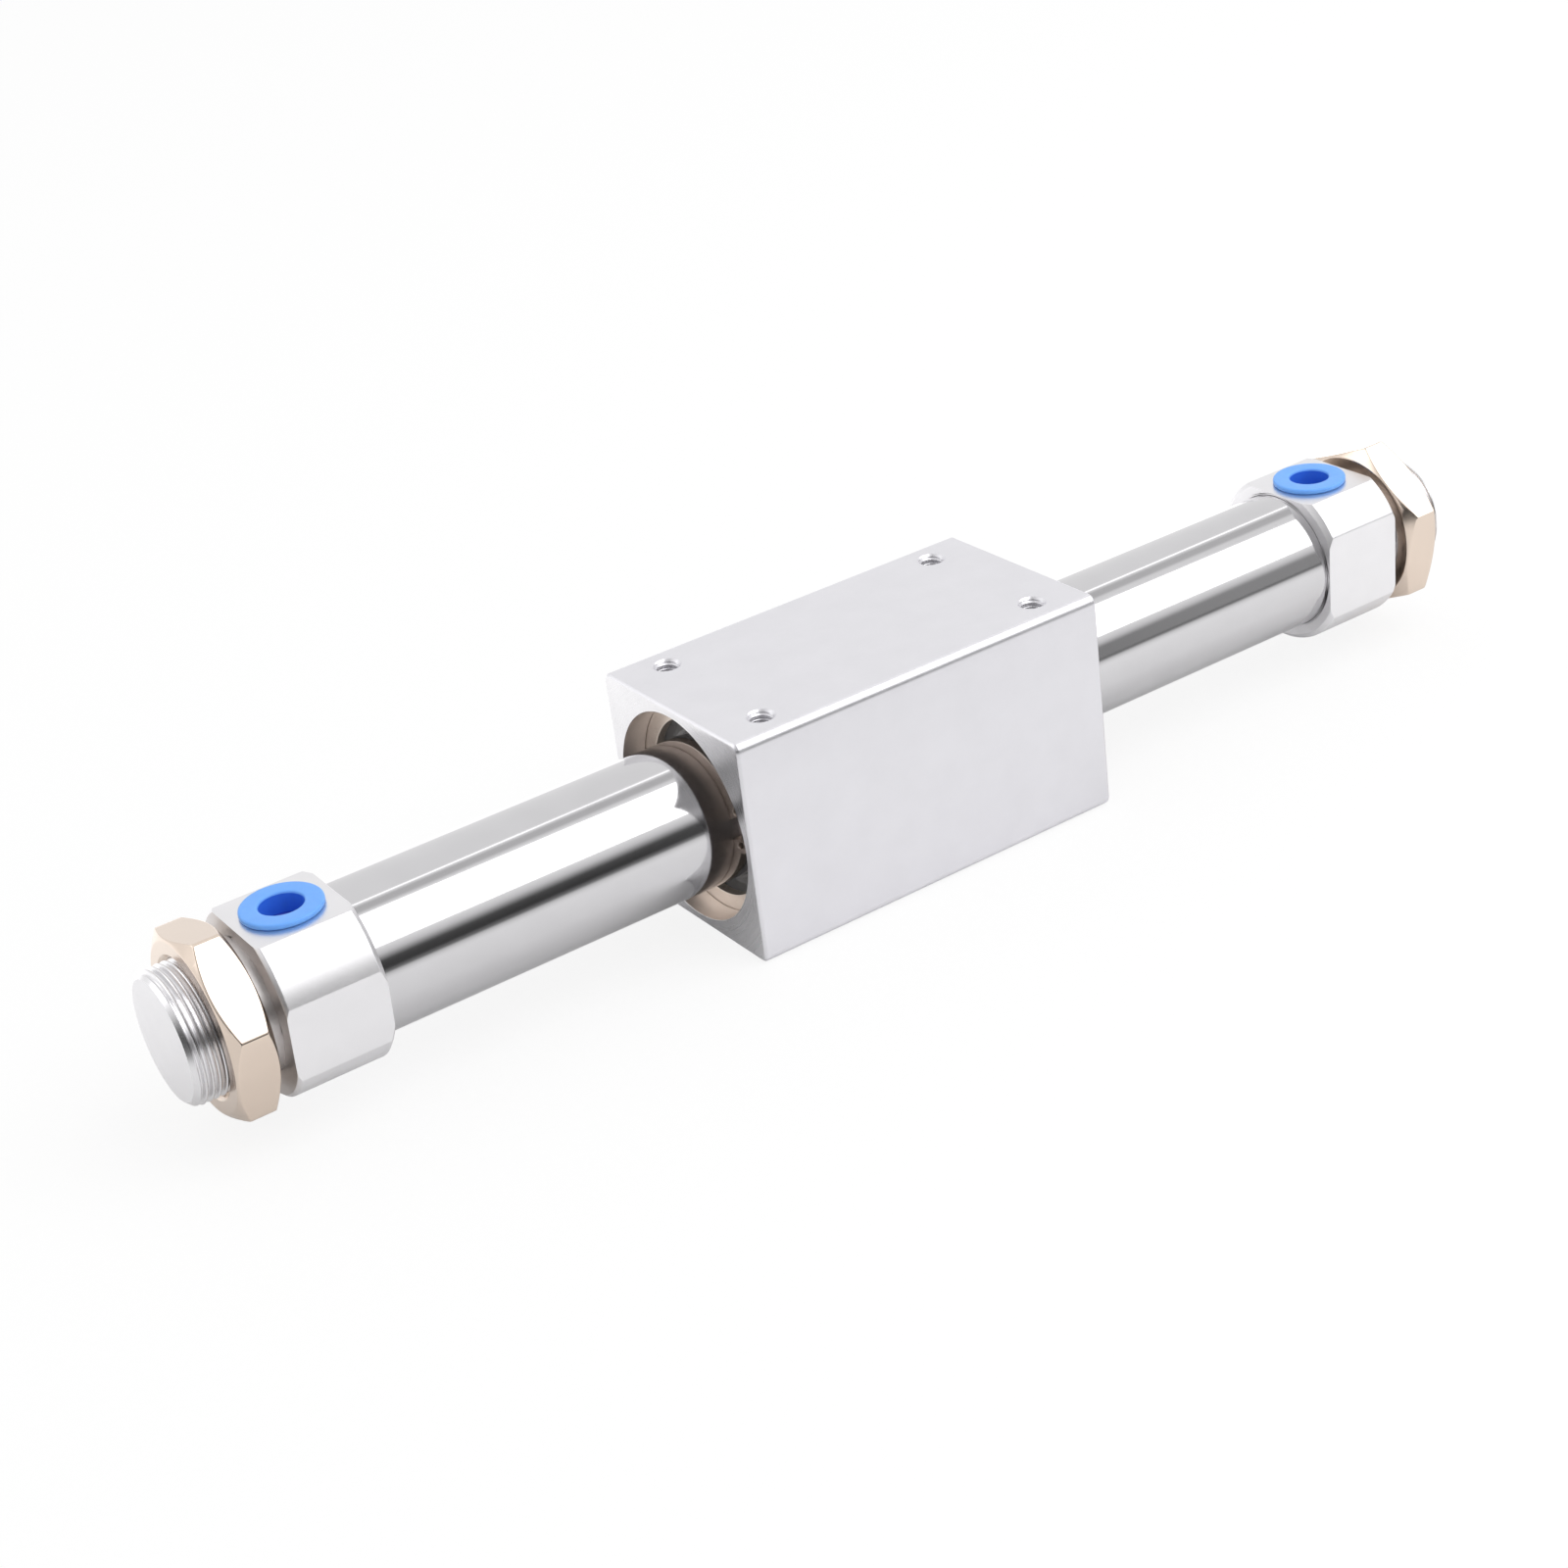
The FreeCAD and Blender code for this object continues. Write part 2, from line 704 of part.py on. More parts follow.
def piston_head(end):
    """A piston: grooves for its wear ring and its seal, and a recess for the shaft's nut."""
    outer_radius = bore_radius - piston_play
    hole_radius = shaft_diameter / 2 + shaft_play
    recess_radius = piston_nut_across_flats / 2 / cosine(Size(30)) + piston_nut_play
    seal_end = piston_length - seal_setback
    seal_start = seal_end - seal_groove_width
    wear_end = wear_setback + wear_groove_width
    seal_radius = outer_radius - seal_groove_depth
    wear_radius = outer_radius - wear_groove_depth
    corners = (
        (0, hole_radius),
        (0, outer_radius),
        (wear_setback, outer_radius),
        (wear_setback, wear_radius),
        (wear_end, wear_radius),
        (wear_end, outer_radius),
        (seal_start, outer_radius),
        (seal_start, seal_radius),
        (seal_end, seal_radius),
        (seal_end, outer_radius),
        (piston_length - shaft_chamfer, outer_radius),
        (piston_length, outer_radius - shaft_chamfer),
        (piston_length, recess_radius),
        (piston_web, recess_radius),
        (piston_web, hole_radius),
    )
    body = turned_piece(end.label("piston_head"), corners)
    end.place(body, stack_half, carriage_offset)


def piston_wear_ring(end):
    """The plastic band that guides a piston head in the tube."""
    inner_radius = bore_radius - piston_play - wear_groove_depth + seal_play
    length = wear_groove_width - 2 * seal_play
    body = plain_ring(end.label("piston_wear_ring"), inner_radius, bore_radius - piston_bore_play, length)
    end.place(body, stack_half + wear_setback + seal_play, carriage_offset)


def piston_seal(end):
    """The cup seal of a piston head, its hollow towards the pressure."""
    inner_radius = bore_radius - piston_play - seal_groove_depth + seal_play
    outer_radius = bore_radius - piston_bore_play
    width = seal_groove_width - 2 * seal_play
    middle = (inner_radius + outer_radius) / 2
    lip = (outer_radius - inner_radius) / 4
    corners = (
        (0, inner_radius),
        (0, outer_radius),
        (width, outer_radius),
        (width, middle + lip),
        (width / 2, middle),
        (width, middle - lip),
        (width, inner_radius),
    )
    body = turned_piece(end.label("piston_seal"), corners)
    start = piston_end - seal_setback - seal_groove_width + seal_play
    end.place(body, start, carriage_offset)


def piston_nut(end):
    """The nut on the shaft, in the recess of a piston head."""
    body = new_body(end.label("piston_nut"))
    blank = Outline(body, "Hexagon", "YZ_Plane").polygon(*hexagon(piston_nut_across_flats))
    blank.circle(shaft_diameter / 2 + shaft_play)
    pad(body, blank, piston_nut_thickness)
    end.place(body, stack_half + piston_web, carriage_offset)


def check_document():
    """Stop if any object failed or any piece is not one valid solid."""
    for item in DOC.Objects:
        if "Invalid" in item.State or "Error" in item.State:
            raise RuntimeError(f"{item.Label} failed: {item.State}")
    for piece in PIECES:
        shape = piece.Shape
        if shape.isNull() or not shape.isValid() or len(shape.Solids) != 1:
            raise RuntimeError(f"{piece.Label} is not one valid solid")


cylinder_tube()
for end, wall, turn in ((NEAR, near_flat_wall, near_flat_turn), (FAR, far_flat_wall, far_flat_turn)):
    end_cap(end, wall, turn)
for end, turn in ((NEAR, near_nut_turn), (FAR, far_nut_turn)):
    mounting_nut(end, turn)
carriage_housing()
for end in ENDS:
    tube_gasket(end)
    bumper(end)
    port_plug(end)
    retaining_ring(end)
    scraper(end)
    bearing_ring(end)
magnet_stack("outer", tube_radius + magnet_air_gap, housing_radius - stack_play)
magnet_stack("inner", shaft_diameter / 2 + shaft_play, bore_radius - magnet_wall_gap)
piston_shaft()
for end in ENDS:
    piston_head(end)
    piston_wear_ring(end)
    piston_seal(end)
    piston_nut(end)

DOC.recompute()
check_document()
os.makedirs("parts", exist_ok=True)
for piece in PIECES:
    piece.Shape.exportStep(f"parts/{piece.Label}.step")
    print(f"{piece.Label:24s} volume {piece.Shape.Volume:10.1f} mm3")
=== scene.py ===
"""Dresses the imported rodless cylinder: turned caps, threads, satin carriage, drawn tube and a pale studio."""

import logging
import math
from abc import ABC, abstractmethod
from dataclasses import dataclass
from enum import Enum
from typing import Callable, ClassVar, Optional, Sequence, Union

import bmesh
import bpy
from mathutils import Matrix, Vector


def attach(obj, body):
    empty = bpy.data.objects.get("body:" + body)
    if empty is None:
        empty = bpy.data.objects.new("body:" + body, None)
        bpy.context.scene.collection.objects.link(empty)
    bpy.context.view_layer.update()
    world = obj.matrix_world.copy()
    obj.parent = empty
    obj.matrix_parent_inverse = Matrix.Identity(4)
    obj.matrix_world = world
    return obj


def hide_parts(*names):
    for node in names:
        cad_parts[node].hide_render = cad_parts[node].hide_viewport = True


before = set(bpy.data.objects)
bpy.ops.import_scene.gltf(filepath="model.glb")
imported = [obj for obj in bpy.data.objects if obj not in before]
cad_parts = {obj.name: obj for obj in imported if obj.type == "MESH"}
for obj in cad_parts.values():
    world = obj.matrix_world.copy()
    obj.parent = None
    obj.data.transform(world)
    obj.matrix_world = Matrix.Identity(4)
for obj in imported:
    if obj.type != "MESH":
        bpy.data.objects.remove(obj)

LOG = logging.getLogger("rodless_cylinder")
MM = 0.001
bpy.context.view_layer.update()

Pair = tuple[float, float]
Triple = tuple[float, float, float]
Colour = tuple[float, float, float, float]
Row = list[Vector]
# A name, an operation and its terms: earlier names, numbers or directions
Sum = tuple[Union[str, float, Triple], ...]
Tree = bpy.types.NodeTree
Node = bpy.types.Node
Socket = bpy.types.NodeSocket
Mesh = bpy.types.Mesh
Thing = bpy.types.Object
Face = bpy.types.MeshPolygon

# Runs in each rounded corner, and how much of a short side one corner may take
EASE_RUNS = 3
EASE_SHARE = 0.45
# Points nearer to each other than this, in millimetres, become one
MERGE = 0.002
# Nearly all of a noise texture lies between these levels
NOISE_ENDS: Pair = (0.3, 0.7)
# How near to a plane or a radius a face's middle is on it, in millimetres, and when two ways are the same
CLOSE, NEAR, LOOSE = 0.01, 0.02, 0.05
SAME_WAY = 0.999
# A hole's rim in millimetres: where its rounding starts and ends, how far it widens, and its cutter's reach
RIM_START, RIM_END, RIM_WIDER, RIM_REACH = 0.06, 0.02, 0.08, 1.0


def linear(code: str) -> Colour:
    """Turn an sRGB hex colour, "#RRGGBB", into linear light with a full alpha."""
    parts = [int(code[start:start + 2], 16) / 255 for start in (1, 3, 5)]
    bent = [part / 12.92 if part <= 0.04045 else ((part + 0.055) / 1.055) ** 2.4 for part in parts]
    return (bent[0], bent[1], bent[2], 1.0)


def add_node(tree: Tree, kind: str, inputs: Optional[dict] = None, **settings) -> Node:
    """Add a node of a kind with its own settings.

    The inputs hold, for a socket's name or number, a value or the output that feeds it.
    """
    node = tree.nodes.new(kind)
    for name, value in settings.items():
        setattr(node, name, value)
    for key, value in (inputs or {}).items():
        if isinstance(value, Socket):
            tree.links.new(value, node.inputs[key])
        else:
            node.inputs[key].default_value = value
    return node


def worked(tree: Tree, sums: Sequence[Sum], known: dict[str, Socket]) -> dict[str, Socket]:
    """Add the nodes of a list of sums.

    An operation is a maths node's, a vector maths node's that gives a number, or MAP, which maps a value
    from its two ends onto two levels and holds it past them.

    Args:
        tree: The node tree that they join.
        sums: The sums.
        known: The outputs that have a name already.

    Returns:
        The outputs by name, with the new ones.
    """
    for name, operation, *terms in sums:
        inputs = {index: known[term] if isinstance(term, str) else term for index, term in enumerate(terms)}
        if operation == "MAP":
            known[name] = add_node(tree, "ShaderNodeMapRange", inputs).outputs[0]
        elif operation in ("DOT_PRODUCT", "DISTANCE", "LENGTH"):
            node = add_node(tree, "ShaderNodeVectorMath", inputs, operation=operation)
            known[name] = node.outputs["Value"]
        else:
            known[name] = add_node(tree, "ShaderNodeMath", inputs, operation=operation).outputs[0]
    return known


def clouded(tree: Tree, place: Socket, scale: float, detail: float = 2.0) -> Socket:
    """Lay noise with so many patches to the place's unit."""
    inputs = {"Vector": place, "Scale": scale, "Detail": detail}
    return add_node(tree, "ShaderNodeTexNoise", inputs).outputs["Fac"]


def placed(name: str, data: bpy.types.ID) -> Thing:
    """Put a mesh, a light or a camera in the scene as an object at the origin."""
    made = bpy.data.objects.new(name, data)
    bpy.context.scene.collection.objects.link(made)
    return made


def polar(radius: float, angle: float) -> Vector:
    """Return the point of a plane at a distance and an angle in radians."""
    return Vector((math.cos(angle), math.sin(angle))) * radius


def bend(start: Vector, corner: Vector, end: Vector) -> list[Vector]:
    """Round one corner between two points."""
    shares = [step / EASE_RUNS for step in range(EASE_RUNS + 1)]
    return [
        start * (1 - share) ** 2 + corner * 2 * share * (1 - share) + end * share ** 2 for share in shares
    ]


def eased(corners: Sequence[Pair], size: float, closed: bool = False) -> list[Pair]:
    """Round the corners of an open or closed line in a plane.

    The rounding starts a size away from a corner, or less where a side is short.
    """
    points: list[Pair] = []
    count = len(corners)
    for index, corner in enumerate(corners):
        if not closed and index in (0, count - 1):
            points.append(corner)
            continue
        here = Vector(corner)
        before = Vector(corners[index - 1]) - here
        after = Vector(corners[(index + 1) % count]) - here
        reach = min(size, EASE_SHARE * before.length, EASE_SHARE * after.length)
        start = here + before.normalized() * reach
        points += [tuple(point) for point in bend(start, here, here + after.normalized() * reach)]
    return points


def circle_row(along: float, radius: float, angles: Sequence[float]) -> Row:
    """Set points round the X axis, at angles from +Y towards +Z in radians."""
    return [Vector((along, radius * math.cos(angle), radius * math.sin(angle))) for angle in angles]


def upright(place: Triple) -> Matrix:
    """Return what stands a piece drawn along X upright at a place."""
    return Matrix.Translation(place) @ Matrix.Rotation(-math.pi / 2, 4, "Y")


def rim(top: float, lip: float, lean: float) -> tuple[Pair, ...]:
    """Return the end of a cutter's section, which rounds a hole's lip and reaches out past its top."""
    wide, out = lip + RIM_WIDER, top + RIM_REACH
    return (
        (top - RIM_START, lip - lean), (top - RIM_END, lip), (top + RIM_END, wide), (out, wide), (out, 0.0),
    )


def full_turn(count: int) -> list[float]:
    """Return evenly spaced angles of one whole turn, in radians."""
    return [math.tau * index / count for index in range(count)]


class End(Enum):
    """The two ends of the cylinder. A piece of an end is drawn facing +X and turned to its place."""

    NEAR = math.pi
    FAR = 0.0

    @property
    def label(self) -> str:
        """The start of the names of the end's pieces."""
        return self.name.lower()

    @property
    def turn(self) -> Matrix:
        """The turn about Z from the drawn piece to its place."""
        return Matrix.Rotation(self.value, 4, "Z")

    def shifted(self, centre: float) -> Matrix:
        """The turn to the end's place about a centre that isn't the frame's, in millimetres."""
        return Matrix.Translation((centre, 0, 0)) @ self.turn


class Skin:
    """The closed surface of one piece while it is made, in millimetres."""

    def __init__(self) -> None:
        self.bm = bmesh.new()

    def rows(self, rows: Sequence[Row], joined: bool = False) -> "Skin":
        """Join rows of as many points, each closed on itself, and where asked the last row to the first."""
        made = [[self.bm.verts.new(point) for point in row] for row in rows]
        following = made[1:] + (made[:1] if joined else [])
        for low, high in zip(made, following):
            for index in range(len(low)):
                after = (index + 1) % len(low)
                self.bm.faces.new((low[index], low[after], high[after], high[index]))
        return self

    def turned(self, profile: Sequence[Pair], count: int, joined: bool = True) -> "Skin":
        """Turn a line of places along X and radii about X, in so many points round the axis."""
        angles = full_turn(count)
        return self.rows([circle_row(along, radius, angles) for along, radius in profile], joined)

    def sheet(self, mesh: Mesh) -> "Skin":
        """Add and use up an open sheet, whose borders meet the rows already there."""
        self.bm.from_mesh(mesh)
        bpy.data.meshes.remove(mesh)
        return self

    def mesh(self, name: str, place: Matrix = Matrix.Identity(4)) -> Mesh:
        """Close the surface, point its faces outward, put it in its place and give it as a mesh in metres."""
        bmesh.ops.remove_doubles(self.bm, verts=self.bm.verts, dist=MERGE)
        bmesh.ops.dissolve_degenerate(self.bm, dist=MERGE / 4, edges=self.bm.edges)
        bmesh.ops.recalc_face_normals(self.bm, faces=self.bm.faces)
        bmesh.ops.transform(self.bm, matrix=Matrix.Scale(MM, 4) @ place, verts=self.bm.verts)
        mesh = bpy.data.meshes.new(name)
        self.bm.to_mesh(mesh)
        self.bm.free()
        return mesh


@dataclass(frozen=True)
class Ground:
    """What a finish is laid on: its material's nodes and shader, and the point's place on the object."""

    tree: Tree
    shader: Node
    place: Socket


@dataclass(frozen=True)
class Finish(ABC):
    """What a surface is made of and how it was finished.

    Attributes:
        name: The material's name.
        colour: Its colour as sRGB hex.
        roughness: Its middle roughness, which goes as far as the spread either side.
        depth: The depth of its pattern in millimetres.
        patch: The size of a patch of slightly other colour in millimetres, which wanders by a share of it.
    """

    name: str
    colour: str
    roughness: float
    depth: float
    spread: float
    metallic: ClassVar[float] = 1.0
    patch: ClassVar[float]
    wander: ClassVar[float]

    @abstractmethod
    def detail(self, ground: Ground) -> None:
        """Add the pattern that this surface has."""

    def mottle(self, ground: Ground) -> None:
        """Let the colour wander a little."""
        tree = ground.tree
        cloud = clouded(tree, ground.place, 1 / (self.patch * MM), 3.0)
        value = ("value", "MAP", "cloud", *NOISE_ENDS, 1 - self.wander, 1 + self.wander)
        known = worked(tree, (value,), {"cloud": cloud})
        inputs = {"Value": known["value"], "Color": linear(self.colour)}
        tone = add_node(tree, "ShaderNodeHueSaturation", inputs)
        tree.links.new(tone.outputs[0], ground.shader.inputs["Base Color"])

    def relief(self, ground: Ground, height: Socket) -> None:
        """Raise a pattern that goes from 0 to 1, and let the roughness follow it."""
        tree, inputs = ground.tree, ground.shader.inputs
        raised = {"Height": height, "Distance": self.depth * MM, "Strength": 1.0}
        tree.links.new(add_node(tree, "ShaderNodeBump", raised).outputs[0], inputs["Normal"])
        levels = (self.roughness - self.spread, self.roughness + self.spread)
        known = worked(tree, (("rough", "MAP", "height", *NOISE_ENDS, *levels),), {"height": height})
        tree.links.new(known["rough"], inputs["Roughness"])

    def material(self) -> bpy.types.Material:
        """Return the finish's material, made once."""
        known = bpy.data.materials.get(self.name)
        if known is not None:
            return known
        made = bpy.data.materials.new(self.name)
        made.use_nodes = True
        tree = made.node_tree
        shader = tree.nodes["Principled BSDF"]
        for socket, value in (("Base Color", linear(self.colour)), ("Metallic", self.metallic),
                              ("Roughness", self.roughness)):
            shader.inputs[socket].default_value = value
        ground = Ground(tree, shader, add_node(tree, "ShaderNodeTexCoord").outputs["Object"])
        self.mottle(ground)
        self.detail(ground)
        return made


@dataclass(frozen=True)
class TurnedMetal(Finish):
    """Metal turned about X: rings on its faces and lines round its rims, feed millimetres apart."""

    feed: float
    patch = 3.0
    wander = 0.03

    def detail(self, ground: Ground) -> None:
        """Lay uneven rings by distance from the axis plus distance along it."""
        tree = ground.tree
        along = add_node(tree, "ShaderNodeSeparateXYZ", {0: ground.place}).outputs[0]
        across = add_node(tree, "ShaderNodeVectorMath", {0: ground.place, 1: (0, 1, 1)}, operation="MULTIPLY")
        known = worked(tree, (
            ("radius", "LENGTH", "across"), ("reach", "ABSOLUTE", "along"),
            ("total", "ADD", "reach", "radius"),
        ), {"along": along, "across": across.outputs[0]})
        inputs = {"W": known["total"], "Scale": 1 / (self.feed * MM), "Detail": 2.0}
        rings = add_node(tree, "ShaderNodeTexNoise", inputs, noise_dimensions="1D")
        self.relief(ground, rings.outputs["Fac"])


@dataclass(frozen=True)
class GrainedMetal(Finish):
    """Metal with a fine grain of a size along X, Y and Z in millimetres."""

    grain: Triple
    patch = 6.0
    wander = 0.015

    def detail(self, ground: Ground) -> None:
        """Lay the stretched grain."""
        scale = tuple(1 / (size * MM) for size in self.grain)
        drawn = add_node(ground.tree, "ShaderNodeMapping", {"Vector": ground.place, "Scale": scale})
        self.relief(ground, clouded(ground.tree, drawn.outputs[0], 1.0, 3.0))


@dataclass(frozen=True)
class MouldedPolymer(Finish):
    """A moulded plastic or rubber, its skin faintly uneven.

    Attributes:
        grain: The size of the skin's unevenness in millimetres.
        inner_light: How much light passes under the skin.
    """

    grain: float
    inner_light: float = 0.0
    metallic = 0.0
    patch = 1.5
    wander = 0.03

    def detail(self, ground: Ground) -> None:
        """Lay the uneven skin and the light under it."""
        self.relief(ground, clouded(ground.tree, ground.place, 1 / (self.grain * MM)))
        for socket, value in (("Weight", self.inner_light), ("Radius", (0.5, 0.8, 1.0)), ("Scale", 0.6 * MM)):
            ground.shader.inputs["Subsurface " + socket].default_value = value


# Stainless steel drawn to size and polished: a mirror with faint lines along it
DRAWN_STAINLESS = GrainedMetal("Drawn stainless steel", "#CECDCF", 0.09, 0.0001, 0.02, (60.0, 0.35, 0.35))
# Aluminium turned on a lathe: grey white with fine rings
TURNED_ALUMINIUM = TurnedMetal("Turned aluminium", "#E4E3E5", 0.26, 0.0003, 0.04, 0.22)
# Aluminium blasted and anodised in its own colour: an even, finely grained satin
BLASTED_ALUMINIUM = GrainedMetal("Blasted anodised aluminium", "#E6E5E7", 0.42, 0.0005, 0.04, (0.3, 0.3, 0.3))
# The same aluminium between cap and nut, painted a slightly darker, warmer grey: painted shade of the narrow
# gap and a painted reflection of the nut
GAP_SHADED_ALUMINIUM = GrainedMetal("Aluminium with painted gap shade", "#CECAC9", 0.36, 0.0006, 0.03, (0.3, 0.3, 0.3))
# The cap's face round the tube, turned in one rough cut: matt, and painted paler as painted light on that face
PALE_LIT_TURNED_ALUMINIUM = GrainedMetal("Rough turned aluminium, painted light", "#F0EFF1", 0.5, 0.0003, 0.02, (0.4, 0.4, 0.4))
# The same aluminium milled flat: straight marks across the flats
MILLED_ALUMINIUM = GrainedMetal("Milled aluminium", "#E8E7E9", 0.3, 0.0002, 0.02, (0.25, 2.5, 2.5))
# Extruded aluminium, etched and anodised in its own colour: an even satin, slightly cool
ANODISED_ALUMINIUM = GrainedMetal(
    "Satin anodised aluminium", "#E2E1E5", 0.36, 0.0006, 0.03, (0.5, 0.35, 0.35),
)
# The end face of the carriage, faced on the lathe before it was anodised: a little shinier, with faint rings
FACED_ALUMINIUM = TurnedMetal("Faced anodised aluminium", "#DDDCDE", 0.3, 0.00003, 0.04, 0.3)
# The bore, left bare and oiled: a faintly warm metal with fine rings
BORED_ALUMINIUM = TurnedMetal("Bored aluminium", "#E8E0DC", 0.34, 0.0003, 0.04, 0.2)
# Steel plated with zinc and nickel: pale champagne
PLATED_STEEL = GrainedMetal("Zinc nickel plated steel", "#DECEC0", 0.2, 0.0002, 0.02, (1.2, 1.2, 1.2))
# Spring steel, oiled: a pale straw colour
SPRING_STEEL = GrainedMetal("Oiled spring steel", "#E2D6CA", 0.3, 0.0004, 0.03, (0.4, 0.4, 0.4))
# Low density polyethylene, moulded thin: matt and a little milky
BLUE_POLYETHYLENE = MouldedPolymer("Blue polyethylene", "#6CAAF8", 0.42, 0.003, 0.05, 0.8, 0.2)
# The same plastic painted a deeper blue on the wall of the plug's hollow: painted shade in the hollow
HOLLOW_SHADED_POLYETHYLENE = MouldedPolymer("Blue polyethylene, painted hollow shade", "#3470E0", 0.4, 0.003, 0.05, 0.8, 0.1)
# The same plastic at the hollow's bottom painted dark blue: painted shade, out of the light
BOTTOM_SHADED_POLYETHYLENE = MouldedPolymer("Blue polyethylene, painted deep shade", "#2148BE", 0.4, 0.003, 0.05, 0.8, 0.1)
# Nitrile rubber: near black, dull
NITRILE_RUBBER = MouldedPolymer("Nitrile rubber", "#1D1C1D", 0.6, 0.004, 0.05, 0.3)
# The scrapers' filled rubber: a dull mid grey, which looks dark inside the carriage's mouth
FILLED_RUBBER = MouldedPolymer("Filled nitrile rubber", "#8E8C8B", 0.6, 0.004, 0.05, 0.3)
# Cast polyurethane: amber and waxy
POLYURETHANE = MouldedPolymer("Cast polyurethane", "#B98D3E", 0.35, 0.003, 0.05, 0.6, 0.3)
# Filled bearing plastic: dark grey brown, dull
BEARING_PLASTIC = MouldedPolymer("Filled bearing plastic", "#3A332E", 0.5, 0.004, 0.05, 0.25)
# Sintered magnet under nickel: bright and faintly grained
NICKELLED_MAGNET = GrainedMetal("Nickel plated magnet", "#C9C3B6", 0.2, 0.001, 0.04, (0.3, 0.3, 0.3))
# Soft iron discs under zinc: a bluish grey
ZINCED_IRON = GrainedMetal("Zinc plated iron", "#B9BEC6", 0.3, 0.001, 0.05, (0.4, 0.4, 0.4))
# Ground steel for the piston's shaft: bright, with very fine rings
GROUND_STEEL = TurnedMetal("Ground steel", "#BDBEC0", 0.22, 0.0004, 0.04, 0.12)


@dataclass(frozen=True)
class ThreadForm:
    """The pitch of a screw thread and its smallest and largest radius, in millimetres."""

    pitch: float
    low: float
    high: float


# The fine thread of the noses and the coarse one of the carriage's tapped holes
NOSE_THREAD = ThreadForm(1.0, 9.37, 9.97)
TAPPED_THREAD = ThreadForm(0.7, 1.65, 2.0)


@dataclass(frozen=True)
class Thread:
    """The sheet of one screw thread about X, in millimetres.

    Its borders have the radii first and last. It is outside on a rod, and else in a hole.
    """

    form: ThreadForm
    start: float
    length: float
    first: float
    last: float
    outside: bool
    around: int


